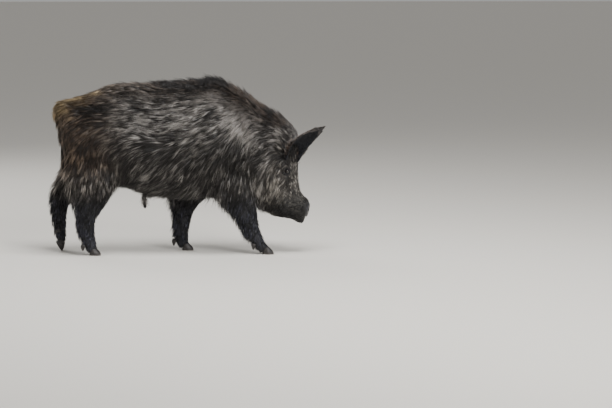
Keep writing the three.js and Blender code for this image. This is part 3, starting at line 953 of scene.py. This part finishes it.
# Eyelids: a soft ring round each eye, open in a slit, running out into the skin.
lidSetup = {
    "halfLong": 0.0112,
    "halfHigh": 0.0074,
    "upperLower": (1.05, 0.85),  # height of the slit's two halves against halfHigh
    "tilt": 14,
    "sides": 72,
    "thick": 0.004,  # how far its back lies behind its front
    # across the rim and its folds: distance outside the slit's edge and height over the ball
    "steps": [
        (-0.0012, -0.0010), (0.0, 0.0006), (0.0005, 0.0013), (0.0013, 0.0016), (0.0023, 0.0013),
        (0.0034, 0.0005), (0.0044, 0.0007), (0.0058, 0.0016), (0.0076, 0.0010), (0.0095, 0.0),
        (0.0120, -0.0016), (0.0150, -0.0036), (0.0180, -0.0060),
    ],
}


def skinLevel(x, z, side):
    # distance of the skin from the head's mid-plane, at the height and length of each point
    inward = Vector(withHead([0, -side, 0]))
    level = np.full(len(x), abs(eyeCentre[1]))
    for i in range(len(x)):
        hit = skinTree.ray_cast(Vector(outOfHead([x[i], side * 0.2, z[i]])), inward)[0]
        if hit:
            level[i] = abs(inHead(hit)[1])
    return level


def buildLids(side):
    cfg = lidSetup
    theta = np.linspace(0, 2 * math.pi, cfg["sides"], endpoint=False)
    upper, lower = cfg["upperLower"]
    slitX = cfg["halfLong"] * np.cos(theta)
    slitZ = cfg["halfHigh"] * np.sin(theta) * np.where(np.sin(theta) > 0, upper, lower)
    start = np.hypot(slitX, slitZ)
    tilt = math.radians(cfg["tilt"])
    wayX = (slitX * math.cos(tilt) + slitZ * math.sin(tilt)) / start
    wayZ = (slitZ * math.cos(tilt) - slitX * math.sin(tilt)) / start
    rings = []
    for out, height in cfg["steps"]:
        radius = start + out
        x, z = eyeCentre[0] + wayX * radius, eyeCentre[2] + wayZ * radius
        inBall = np.minimum(radius, eyeRadius * 0.93)
        ball = np.sqrt(np.maximum((eyeRadius + height) ** 2 - inBall**2, 0)) + abs(eyeCentre[1])
        rings.append((x, z, ball, out, height))
    i = np.arange(cfg["sides"])
    neighbours = np.stack([i, np.roll(i, -1)], 1)
    outer = relax(skinLevel(*rings[-1][:2], side)[:, None], neighbours, 6)[:, 0]
    front = []
    for x, z, ball, out, height in rings:
        t = ramp(0.002, 0.013, out)  # from the ball to the skin
        y = ball * (1 - t) + (outer + height) * t
        front.append(np.stack([x, side * y, z], 1))
    back = [row - np.array([0, side * cfg["thick"], 0]) for row in front[::-1]]
    quads = ringQuads(2 * len(front), cfg["sides"], side < 0)
    return outOfHead(np.concatenate(front + back)), (quads, np.empty((0, 3), int))


# Share of the light tips' tone that the skin shows between the hairs, and reach of its dark places.
# The skin is dark partly in the undercoat's tone and partly as painted shade between the tufts.
skinTones = {"least": 0.04, "frost": 0.12, "shortHair": 0.06, "ears": 0.25,
             "dark": 0.85, "roundEye": 0.020, "lips": 0.005}


def joinSkin():
    # skin, ears and lids as one mesh, painted in the deep tones of the coat over them, which also
    # stand for painted shade between the tufts
    cfg = skinTones
    p, n, w = readSkin(skinMesh)
    q = inHead(p)
    head = share(w, *headNames)
    shaft, tip, frost = hairTones(p, n, w)
    short = cfg["shortHair"] * (head + share(w, *legNames))
    tone = mix(shaft, tip, cfg["least"] + frost * (cfg["frost"] + short))
    # the lids' and lips' own dark skin, with painted shade in the eye's socket and the mouth's
    # crease
    dark = np.maximum(hump(eyeGap(q), 0, cfg["roundEye"]), hump(lipGap(q), 0, cfg["lips"]))
    tone = mix(tone, hair["lips"], cfg["dark"] * (head * dark))
    parts = [(p, readFaces(skinMesh), tone)]
    for sideName, (mesh, part) in ears.items():
        shaft, tip, frost = earTones(readNormals(mesh), sideName, part)
        parts.append((readPoints(mesh), readFaces(mesh), mix(shaft, tip, cfg["ears"] * frost)))
    for side in (-1, 1):
        p, faces = buildLids(side)
        tone = flatTone(hair["lips"] * 1.2, len(p))
        tone = mix(tone, hair["faceShaft"], ramp(0.012, 0.026, eyeGap(inHead(p))))
        parts.append((p, faces, tone))
    points, faceSets, tones = zip(*parts)
    starts = np.cumsum([0] + [len(p) for p in points])
    quads = np.concatenate([faces[0] + start for faces, start in zip(faceSets, starts)])
    triangles = np.concatenate([faces[1] + start for faces, start in zip(faceSets, starts)])
    mesh = makeMesh("skin", np.concatenate(points), triangles, quads)
    paint(mesh, np.concatenate(tones))
    return mesh


flesh = [*regions, "ear_left", "ear_right"]
addPiece("skin", joinSkin(), materials["hairyHide"], "coat", *flesh)
say("skin joined")


# Coat: tufts of bristles set in the skin.
# A pair is the least and the most of an even draw, and a single number the scatter of a bell curve.
tuftSetup = {
    # each tuft against the measures of its place
    "length": (0.8, 1.12),
    "lift": (0.75, 1.15),
    "shade": (0.5, 1.45),
    "yaw": 0.10,  # radians
    "frostEdge": 0.18,  # a tuft this near to the limit is light only in part
    # each hair against its tuft
    "hairLength": (0.7, 1.08),
    "hairLift": (0.88, 1.12),
    "hairShade": (0.8, 1.2),
    "hairYaw": 0.07,
    "hairBend": 0.04,
    "hairFrost": 0.14,
    "along": (-1.6, 1.6),  # place of the root in its tuft, in spreads
    "across": (-1, 1),
    "bury": (0.0005, 0.012),  # depth of the root in metres, and more in shares of the hair's length
    "middle": 0.45,  # share of its length after which a hair bends over
    "steeper": 1.5,  # lift up to there, against the lift of the whole hair
    "gather": (0.45, 0.45),  # how far apart the tips end, and more where the coat is loose
    "oval": (1.2, 0.85),  # width and height of a hair against its radius
    "rootTone": 0.4,
    "shaftFrost": 0.55,  # share of the light tip's tone that the shaft takes
    "tipFrost": 0.65,
}
# A tip that juts out this far always settles, and none moves further than that share of its length.
settleSetup = {"jutting": (0.016, 0.026), "most": 0.85}
# Rings of a hair: how far along it and how thick.
stations = {3: [(0.0, 1.0), (0.36, 1.0), (0.72, 0.66)], 2: [(0.0, 1.0), (0.5, 0.85)]}
# Room in the flat layout, and the height of the line that the body unrolls from.
uvSetup = {"tuft": 0.002, "side": 0.0004, "hair": 0.003, "margin": 0.004, "bodyLine": 0.52}
coatSetup = {
    "seed": 41,
    "spread": 2.6,  # of a tuft, in radii of its hair
    "follow": 0.95,  # how closely tufts keep to the body's curve, and less where the coat is loose
    "loosest": 0.8,
    "eye": 0.014,  # bare within this
    "lips": 0.004,
    "nose": (0.004, 0.012),
    "sole": (0.010, 0.020),
}
# Pieces of the coat along each side: x from and to.
spans = {
    "Rump": (-9, -0.42),
    "Haunch": (-0.42, -0.22),
    "Flank": (-0.22, -0.02),
    "Ribs": (-0.02, 0.16),
    "Shoulder": (0.16, 0.30),
    "Neck": (0.30, 9),
}


def settleTips(tufts, tuftLength, tuftLift):
    # how far each tuft's tips move, to follow the body's curve and neither jut out nor sink in
    length, lift = (tufts["length"] * tuftLength)[:, None], (tufts["lift"] * tuftLift)[:, None]
    height = length * np.sin(lift)
    straight = tufts["p"] + length * np.cos(lift) * tufts["way"] + height * tufts["n"]
    move = np.zeros_like(straight)
    for i, point in enumerate(straight):
        at, normal, _, _ = tufts["tree"].find_nearest(Vector(point))
        move[i] = np.array(at) + height[i] * np.array(normal) - point
    size = np.linalg.norm(move, axis=1, keepdims=True)
    follow = np.maximum(tufts["follow"][:, None], ramp(*settleSetup["jutting"], size))
    return move * follow * np.minimum(1, settleSetup["most"] * length / np.maximum(size, 1e-9))


def drawHairs(tufts, perTuft, spread, rng):
    # tufts holds an array for each measure, with the lift in radians, and the skin's tree
    cfg = tuftSetup
    count = len(tufts["p"])
    tuftLength = rng.uniform(*cfg["length"], count)
    tuftYaw = rng.normal(0, cfg["yaw"], count)
    tuftLift = rng.uniform(*cfg["lift"], count)
    tuftFrost = ramp(-cfg["frostEdge"], cfg["frostEdge"], tufts["frost"] - rng.random(count))
    tuftShade = rng.uniform(*cfg["shade"], count)
    settle = settleTips(tufts, tuftLength, tuftLift)
    k = np.repeat(np.arange(count), perTuft)  # the tuft that each hair belongs to
    column = (len(k), 1)
    n, p, combed, shaft, tip = (tufts[key][k] for key in ("n", "p", "way", "shaft", "tip"))
    across = np.cross(n, combed)
    yaw = tuftYaw[k][:, None] + rng.normal(0, cfg["hairYaw"], column)
    way = combed * np.cos(yaw) + across * np.sin(yaw)
    length = (tufts["length"] * tuftLength)[k][:, None] * rng.uniform(*cfg["hairLength"], column)
    lift = (tufts["lift"] * tuftLift)[k][:, None] * rng.uniform(*cfg["hairLift"], column)
    radius = tufts["radius"][k][:, None]
    offset = way * rng.uniform(*cfg["along"], column) + across * rng.uniform(*cfg["across"], column)
    offset = offset * (spread * radius)
    bend = rng.normal(0, cfg["hairBend"], column)
    shade = tuftShade[k][:, None] * rng.uniform(*cfg["hairShade"], column)
    frost = np.clip(tuftFrost[k] * 1.1 + rng.normal(0, cfg["hairFrost"], len(k)), 0, 1)
    root = p + offset - n * (cfg["bury"][0] + cfg["bury"][1] * length)
    # a hair leaves the skin steeply, and its end lies flatter, drawn to the tips of its tuft
    steep = cfg["steeper"] * lift
    middle = root + length * cfg["middle"] * (np.cos(steep) * way + np.sin(steep) * n)
    gather = cfg["gather"][0] + cfg["gather"][1] * (1 - tufts["follow"][k][:, None])
    run = np.cos(lift) * way + np.sin(lift) * n + bend * across
    beside = np.tile(np.arange(perTuft), count)[:, None] / perTuft - 0.5
    return {
        "n": n, "root": root, "middle": middle, "radius": radius,
        "end": p + offset * gather + length * run + settle[k],
        "rootTone": shaft * cfg["rootTone"],
        "shaftTone": mix(shaft, tip, cfg["shaftFrost"] * frost) * shade,
        "tipTone": mix(shaft, tip, frost) * shade,
        "uv": tufts["uv"][k] + beside * [uvSetup["tuft"], 0],
    }


def spikeTriangles(rings):
    faces = [(0, 2, 1)]
    for r in range(rings - 1):
        for j in range(3):
            a, b = r * 3 + j, r * 3 + (j + 1) % 3
            faces += [(a, b, b + 3), (a, b + 3, a + 3)]
    top = (rings - 1) * 3
    faces += [(top + j, top + (j + 1) % 3, rings * 3) for j in range(3)]
    return np.array(faces)


def makeSpikes(name, hairs, rings):
    # each hair as a three-sided spike along a curve from its root past its middle to its end
    root, middle, end = hairs["root"], hairs["middle"], hairs["end"]
    wide, high = tuftSetup["oval"]
    corners, tones, uvs = [], [], []
    for s, girth in stations[rings]:
        at = (1 - s) ** 2 * root + 2 * s * (1 - s) * middle + s * s * end
        ahead = unit((1 - s) * (middle - root) + s * (end - middle))
        u = unit(np.cross(ahead, hairs["n"]))
        v = np.cross(u, ahead)
        if s < 0.6:
            tone = mix(hairs["rootTone"], hairs["shaftTone"], ramp(0, 0.3, s))
        else:
            tone = mix(hairs["shaftTone"], hairs["tipTone"], tuftSetup["tipFrost"])
        for j in range(3):
            turn = math.pi / 2 + j * 2 * math.pi / 3
            around = wide * math.cos(turn) * u + high * math.sin(turn) * v
            corners.append(at + hairs["radius"] * girth * around)
            tones.append(tone)
            uvs.append(hairs["uv"] + [uvSetup["side"] * (j - 1), uvSetup["hair"] * (s - 0.5)])
    corners.append(end)
    tones.append(hairs["tipTone"])
    uvs.append(hairs["uv"] + [0, uvSetup["hair"] / 2])
    points, tones, uvs = (np.stack(rows, 1).reshape(-1, rows[0].shape[1])
                          for rows in (corners, tones, uvs))
    firsts = np.arange(len(root)) * len(corners)
    triangles = (firsts[:, None, None] + spikeTriangles(rings)).reshape(-1, 3)
    mesh = makeMesh(name, points, triangles)
    paint(mesh, tones)
    layer = mesh.uv_layers.new(name="OFBake")
    layer.data.foreach_set("uv", uvs[triangles.ravel()].astype(np.float32).ravel())
    return mesh


def fitUv(uv):
    low, high = uv.min(0), uv.max(0)
    margin = uvSetup["margin"]
    return margin + (1 - 2 * margin) * (uv - low) / np.maximum(high - low, 1e-6)


def addTufts(name, tufts, perTuft, rings, spread, rng):
    tufts["uv"] = fitUv(tufts["uv"])
    mesh = makeSpikes(name, drawHairs(tufts, perTuft, spread, rng), rings)
    addPiece(name, mesh, materials["guardHair"], "coat")
    count = len(mesh.polygons)
    print(f"  {name}: {len(tufts['p'])} tufts, {count} triangles")
    return count


def scatter(points, triangles, density, rng):
    # places on the triangles, as many to the square metre as density says at their corners
    a, b, c = (points[triangles[:, i]] for i in range(3))
    area = np.linalg.norm(np.cross(b - a, c - a), axis=1) / 2
    wanted = area * density[triangles].mean(1)
    count = np.floor(wanted + rng.random(len(wanted))).astype(int)
    face = np.repeat(np.arange(len(triangles)), count)
    u, v = rng.random((2, len(face)))
    flip = u + v > 1
    u, v = np.where(flip, 1 - u, u), np.where(flip, 1 - v, v)
    weights = np.stack([1 - u - v, u, v], 1)

    def pick(values):
        return np.einsum("fc,fc...->f...", weights, values[triangles[face]])

    return pick


def unwrapRound(along, a, b):
    # angle round the part's own middle line (a, b across it) and distance along it, both 0 to 1
    bins = np.linspace(along.min(), along.max() + 1e-6, 14)
    owner = np.digitize(along, bins)
    used = [i for i in range(1, len(bins)) if np.any(owner == i)]
    mids = [(bins[i - 1] + bins[i]) / 2 for i in used]
    ma = np.interp(along, mids, [a[owner == i].mean() for i in used])
    mb = np.interp(along, mids, [b[owner == i].mean() for i in used])
    turn = np.arctan2(a - ma, b - mb) / (2 * math.pi) + 0.5
    return np.stack([turn, (along - along.min()) / np.ptp(along)], 1)


def layOut(name, p):
    # flat layout: legs, tail and head round their own middle line, the rest over the back
    x, y, z = p.T
    if "leg" in name or "Tail" in name:
        return unwrapRound(z, x, y)
    if "Head" in name:
        hx, hy, hz = inHead(p).T
        return unwrapRound(hx - hz, hy, hx + hz)
    return np.stack([np.arctan2(y - middleY, z - uvSetup["bodyLine"]), x], 1)


def coatDensity(p, n, w):
    # tufts to the square metre: none in the eye, at the nose disc or under the feet, few on the lips
    cfg = coatSetup
    q = inHead(p)
    density = coatShape(p, n, w)["tufts"] * (1 - np.exp(-((eyeGap(q) / cfg["eye"]) ** 4)))
    density = density * (1 - 0.9 * share(w, *headNames) * hump(lipGap(q), 0, cfg["lips"]))
    return density * clearOfNose(p, *cfg["nose"]) * ramp(*cfg["sole"], p[:, 2])


def describeTufts(p, n, w):
    cfg = coatSetup
    shape = coatShape(p, n, w)
    addFringes(shape, p, n, w)
    shaft, tip, frost = hairTones(p, n, w)
    loose = crestShare(p, n) * (1 - 0.9 * pollShare(inHead(p)))
    loose = np.maximum(loose, blob(p[:, 0], p[:, 2], brushSetup["at"], brushSetup["loose"]))
    loose = np.maximum(loose, 0.7 * share(w, *legNames) * ramp(0.0, -0.8, n[:, 0]))
    return {
        "p": p, "n": n, "way": lieOf(p, n, w), "shaft": shaft, "tip": tip, "frost": frost,
        "length": shape["length"], "lift": np.radians(shape["lift"]), "radius": shape["radius"],
        "follow": cfg["follow"] * (1 - cfg["loosest"] * loose),
    }


def coatPieces(p, n, w):
    # for each piece its tufts, the hairs of a tuft and the rings of a hair
    g = coatGroups(w)
    right, headRight = p[:, 1] < middleY, inHead(p)[:, 1] < 0
    isHead, isLeg, isTail = (g[key] > 0.5 for key in ("head", "leg", "tail"))
    body = ~(isHead | isLeg | isTail)
    crest = body & (crestShare(p, n) > 0.3)
    under = body & ~crest & (n[:, 2] < -0.55)
    side = body & ~crest & ~under
    pieces = {"coatMane": (crest, 6, 3), "coatBelly": (under, 5, 2), "coatTail": (isTail, 6, 2)}
    for label, (low, high) in spans.items():
        span = side & (p[:, 0] >= low) & (p[:, 0] < high)
        pieces[f"coat{label}Right"] = (span & right, 5, 2)
        pieces[f"coat{label}Left"] = (span & ~right, 5, 2)
    pieces["coatHeadRight"] = (isHead & headRight, 5, 2)
    pieces["coatHeadLeft"] = (isHead & ~headRight, 5, 2)
    for legName in legNames:
        pieces["coat" + legName.title().replace("_", "")] = (isLeg & (share(w, legName) > 0.4), 6, 2)
    return pieces


def growCoat():
    rng = np.random.default_rng(coatSetup["seed"])
    p, n, w = readSkin(skinMesh)
    pick = scatter(p, readTriangles(skinMesh), coatDensity(p, n, w), rng)
    p, n, w = pick(p), unit(pick(n)), pick(w)
    tufts = describeTufts(p, n, w)
    total = 0
    for name, (mask, perTuft, rings) in coatPieces(p, n, w).items():
        mine = {key: value[mask] for key, value in tufts.items()}
        mine["tree"] = skinTree
        mine["uv"] = layOut(name, mine["p"])
        total += addTufts(name, mine, perTuft, rings, coatSetup["spread"], rng)
    return total


say(f"coat of {growCoat()} triangles")


# Hair of the ears.
def growEarCoat():
    cfg = earSetup
    rng = np.random.default_rng(cfg["seed"])
    total = 0
    for sideName, (mesh, part) in ears.items():
        _, axis, mouth = earFrame(sideName)
        density = cfg["tufts"] * ramp(0.02, 0.10, part)
        pick = scatter(readPoints(mesh), readTriangles(mesh), density, rng)
        p, n, part = pick(readPoints(mesh)), unit(pick(readNormals(mesh))), pick(part)
        inside = ramp(-0.1, 0.35, n @ mouth)
        shaft, tip, frost = earTones(n, sideName, part)
        everywhere, atRoot = cfg["lift"]
        tufts = {
            "p": p, "n": n, "way": unit(axis - n * (n @ axis)[:, None]), "tree": treeOf(mesh),
            "length": cfg["hair"] * (1 - 0.4 * inside) * (1 + 1.3 * ramp(0.55, 0.1, part)),
            "lift": np.radians(everywhere + atRoot * (1 - inside) * ramp(0.55, 0.2, part)),
            "radius": np.full(len(p), cfg["radius"]), "follow": np.zeros(len(p)),
            "shaft": shaft, "tip": tip, "frost": frost,
            "uv": np.stack([p @ np.cross(axis, mouth) + 0.2 * (inside > 0.5), p @ axis], 1),
        }
        name = "coatEar" + sideName.title()
        total += addTufts(name, tufts, cfg["perTuft"], 2, cfg["spread"], rng)
    return total


say(f"ear hair of {growEarCoat()} triangles")


# Nose disc: rolled rim, two nostrils, moist leather.
noseSetup = {
    "halfWide": 0.0455,
    "halfHigh": 0.0385,
    "back": 0.014,
    "backSize": 0.93,  # against the front
    "front": 0.0045,
    "dish": 0.0030,
    "rim": (0.78, 0.12, 0.0020),  # place and half width in radii, height
    "rollBack": 0.011,
    "nostril": (0.0185, -0.001),
    "nostrilHalf": (0.0085, 0.0068),
    "nostrilDeep": 0.013,
    "nostrilEdge": (1.15, 0.65),  # where it starts and is full, in shares of its half sizes
    "nostrilRim": (1.35, 0.3, 0.0022),  # place and half width in the same shares, height
    "nostrilSlant": 0.25,
    "groove": (0.0012, 0.0035),  # depth and half width of the groove down the middle
    "grid": 120,
    "colour": "#151317",
    "sunkenShadeColour": "#080708",
    "rimHighlightColour": "#242228",
}


def buildNose():
    cfg, f = noseSetup, noseFrame
    m = cfg["grid"]
    s, t = np.meshgrid(np.linspace(-1, 1, m), np.linspace(-1, 1, m), indexing="ij")
    # square net drawn round, so that the rim is even
    x = s * np.sqrt(1 - t * t / 2)
    z = t * np.sqrt(1 - s * s / 2)
    r = np.hypot(x, z)
    wide, high = x * cfg["halfWide"], z * cfg["halfHigh"] * (1 - 0.06 * x * x)
    rimAt, rimHalf, rimHigh = cfg["rim"]
    nostrilAt, nostrilHalf, nostrilHigh = cfg["nostrilRim"]
    rim = hump(r, rimAt, rimHalf)
    front = cfg["front"] + rimHigh * rim - cfg["dish"] * ramp(0.80, 0.2, r)
    front -= cfg["rollBack"] * ramp(rimAt, 1.0, r) ** 1.5
    for side in (-1, 1):
        beside = wide - side * cfg["nostril"][0]
        over = high - cfg["nostril"][1] + side * cfg["nostrilSlant"] * beside
        d = np.hypot(beside / cfg["nostrilHalf"][0], over / cfg["nostrilHalf"][1])
        front += nostrilHigh * hump(d, nostrilAt, nostrilHalf)
        front -= cfg["nostrilDeep"] * ramp(*cfg["nostrilEdge"], d)
    front -= cfg["groove"][0] * hump(wide, 0, cfg["groove"][1]) * ramp(0.9, 0.6, r)
    grid = np.arange(m * m).reshape(m, m)
    a, b, c, d = grid[:-1, :-1], grid[1:, :-1], grid[1:, 1:], grid[:-1, 1:]
    face = np.stack([a, b, c, d], -1).reshape(-1, 4)
    backFace = np.stack([a, d, c, b], -1).reshape(-1, 4) + m * m
    edge = np.concatenate([grid[:, 0], grid[-1, 1:], grid[-2::-1, -1], grid[0, -2:0:-1]])
    nextEdge = np.roll(edge, -1)
    wall = np.stack([edge, edge + m * m, nextEdge + m * m, nextEdge], 1)
    plane = wide[..., None] * f["across"] + high[..., None] * f["up"]
    top = f["centre"] + plane + front[..., None] * f["normal"]
    bottom = f["centre"] + plane * cfg["backSize"] - cfg["back"] * f["normal"]
    points = np.concatenate([top.reshape(-1, 3), bottom.reshape(-1, 3)])
    mesh = makeMesh("noseDisc", points, quads=np.concatenate([face, backFace, wall]))
    tone = flatTone(hexColour(cfg["colour"]), m * m)
    # painted shade where the leather lies back, in the nostrils, groove and rolled edge, and a
    # painted highlight on the raised rim
    tone = mix(tone, hexColour(cfg["sunkenShadeColour"]), ramp(0.001, -0.006, front).ravel())
    tone = mix(tone, hexColour(cfg["rimHighlightColour"]), 0.5 * rim.ravel())
    paint(mesh, np.concatenate([tone, tone]))
    return mesh


addPiece("noseLeather", buildNose(), materials["moistLeather"], "nose", "nose_disc")


# Eyes: ball with cornea, brown iris, round pupil. Iris and pupil end at that angle from the gaze.
eyeSetup = {
    "gaze": (0.28, 0.95, 0.02),  # of the left eye, in the head's own frame
    "iris": 0.58,
    "pupil": 0.24,
    "cornea": 0.0007,
    "rings": 40,
    "sides": 56,
    "streaks": 9,
    "irisColour": "#1e120b",
    "whiteColour": "#1b1513",
    "pupilColour": "#040404",
}


def buildEye(side):
    cfg = eyeSetup
    gaze = unit(withHead(np.array(cfg["gaze"]) * (1, side, 1)))
    up = unit(np.array([0, 0, 1.0]) - gaze * gaze[2])
    across = np.cross(up, gaze)
    sides, rows = cfg["sides"], cfg["rings"]
    angle = np.linspace(0, math.pi, rows + 2)[1:-1]
    turn = np.linspace(0, 2 * math.pi, sides, endpoint=False)
    a, t = (grid[..., None] for grid in np.meshgrid(angle, turn, indexing="ij"))
    radius = eyeRadius + cfg["cornea"] * ramp(0.60, 0.25, a)
    centre = outOfHead([eyeCentre[0], side * abs(eyeCentre[1]), eyeCentre[2]])
    ball = centre + radius * (np.cos(a) * gaze + np.sin(a) * (np.cos(t) * across + np.sin(t) * up))
    poles = [centre + gaze * (eyeRadius + cfg["cornea"]), centre - gaze * eyeRadius]
    i = np.arange(sides)
    j = np.roll(i, -1)
    last, pole = (rows - 1) * sides, np.full(sides, rows * sides)
    caps = np.concatenate([np.stack([pole, i, j], 1), np.stack([pole + 1, last + j, last + i], 1)])
    quads = ringQuads(rows, sides, flip=True, closed=False)
    mesh = makeMesh("eye", np.concatenate([ball.reshape(-1, 3), poles]), caps, quads)
    spread = np.concatenate([np.repeat(angle, sides), [0, math.pi]])
    streak = 0.75 + 0.5 * np.abs(np.sin(cfg["streaks"] * np.append(np.tile(turn, rows), [0, 0])))
    tone = hexColour(cfg["irisColour"]) * streak[:, None]
    tone = mix(tone, hexColour(cfg["whiteColour"]), ramp(cfg["iris"], cfg["iris"] + 0.1, spread))
    tone = mix(tone, hexColour(cfg["pupilColour"]), ramp(cfg["pupil"] + 0.05, cfg["pupil"], spread))
    paint(mesh, tone)
    return mesh


for sideName, side in (("left", 1), ("right", -1)):
    pieceName, nodeName = "eyeball" + sideName.title(), f"eye_{sideName}"
    addPiece(pieceName, buildEye(side), materials["wetEyeball"], "eye", nodeName)
say("nose and eyes")


# Claws: horn with growth rings.
clawSetup = {
    "voxel": 0.0013,
    "evening": 6,
    "ringEvery": 0.0042,
    "ringHigh": 0.00035,
    "ringSlope": 0.25,  # rise of the rings towards the toe
    "wornTo": 0.22,  # share of the claw's height that the ground scuffs
    "dark": "#121012",
    "light": "#3f3935",
    "worn": "#5e564e",
}


def buildClaw(nodeName):
    cfg = clawSetup
    mesh = remesh([nodeName], cfg["voxel"])
    p = relax(readPoints(mesh), readEdges(mesh), cfg["evening"], 0.5, 0.51)
    setPoints(mesh, p)
    n = readNormals(mesh)
    low = p[:, 2].min()
    height = p[:, 2] - low - cfg["ringSlope"] * (p[:, 0] - p[:, 0].mean())
    ring = np.sin(2 * math.pi * height / cfg["ringEvery"]) * ramp(-0.4, 0.1, n[:, 2])
    p = p + n * (cfg["ringHigh"] * ring)[:, None]
    p[:, 2] = np.maximum(p[:, 2], low)
    setPoints(mesh, p)
    smooth(mesh)
    part = (p[:, 2] - low) / np.ptp(p[:, 2])
    tone = mix(flatTone(hexColour(cfg["dark"]), len(p)), hexColour(cfg["light"]),
               0.35 + 0.3 * waves(p, 0.006, 9))
    tone = mix(tone, hexColour(cfg["worn"]), 0.5 * ramp(cfg["wornTo"], 0.0, part))
    paint(mesh, tone)
    return mesh


for legName in legNames:
    for clawName in ("hoof_inner", "hoof_outer", "dewclaw_inner", "dewclaw_outer"):
        nodeName = f"{legName}_{clawName}"
        pieceName = "horn" + nodeName.title().replace("_", "")
        addPiece(pieceName, buildClaw(nodeName), materials["clawHorn"], "horn", nodeName)
say("claws")


# Floor and light.
lights = {
    "sky": {"at": (0.6, -1.2, 4.2), "size": 2.4, "power": 210},
    "front": {"at": (2.6, -4.4, 3.0), "size": 1.8, "power": 190},
    "behind": {"at": (-2.4, 3.6, 3.0), "size": 3.0, "power": 80},
}
stageSetup = {"floorHalf": 60, "floorColour": "#d8d4cc", "worldGrey": 0.42, "lampsAim": (0, 0, 0.4)}


def makeFloor(cfg):
    half = cfg["floorHalf"]
    corners = [(-half, -half, 0), (half, -half, 0), (half, half, 0), (-half, half, 0)]
    mesh = makeMesh("floor", corners, quads=[(0, 1, 2, 3)])
    floor = addObject("floor", mesh)
    colour = (*hexColour(cfg["floorColour"]), 1)
    material, _ = newMaterial("paintedPlaster", {"Roughness": 0.85, "Base Color": colour})
    mesh.materials.append(material)


def makeLights(cfg):
    for name, lamp in lights.items():
        data = bpy.data.lights.new(name, "AREA")
        data.shape = "DISK"
        data.size = lamp["size"]
        data.energy = lamp["power"]
        light = addObject(name, data)
        light.location = lamp["at"]
        aim = Vector(cfg["lampsAim"]) - light.location
        light.rotation_euler = aim.to_track_quat("-Z", "Y").to_euler()
    world = bpy.data.worlds.new("softGrey")
    world.use_nodes = True
    world.node_tree.nodes["Background"].inputs["Color"].default_value = (*[cfg["worldGrey"]] * 3, 1)
    bpy.context.scene.world = world


makeFloor(stageSetup)
makeLights(stageSetup)

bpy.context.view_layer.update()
say("done")
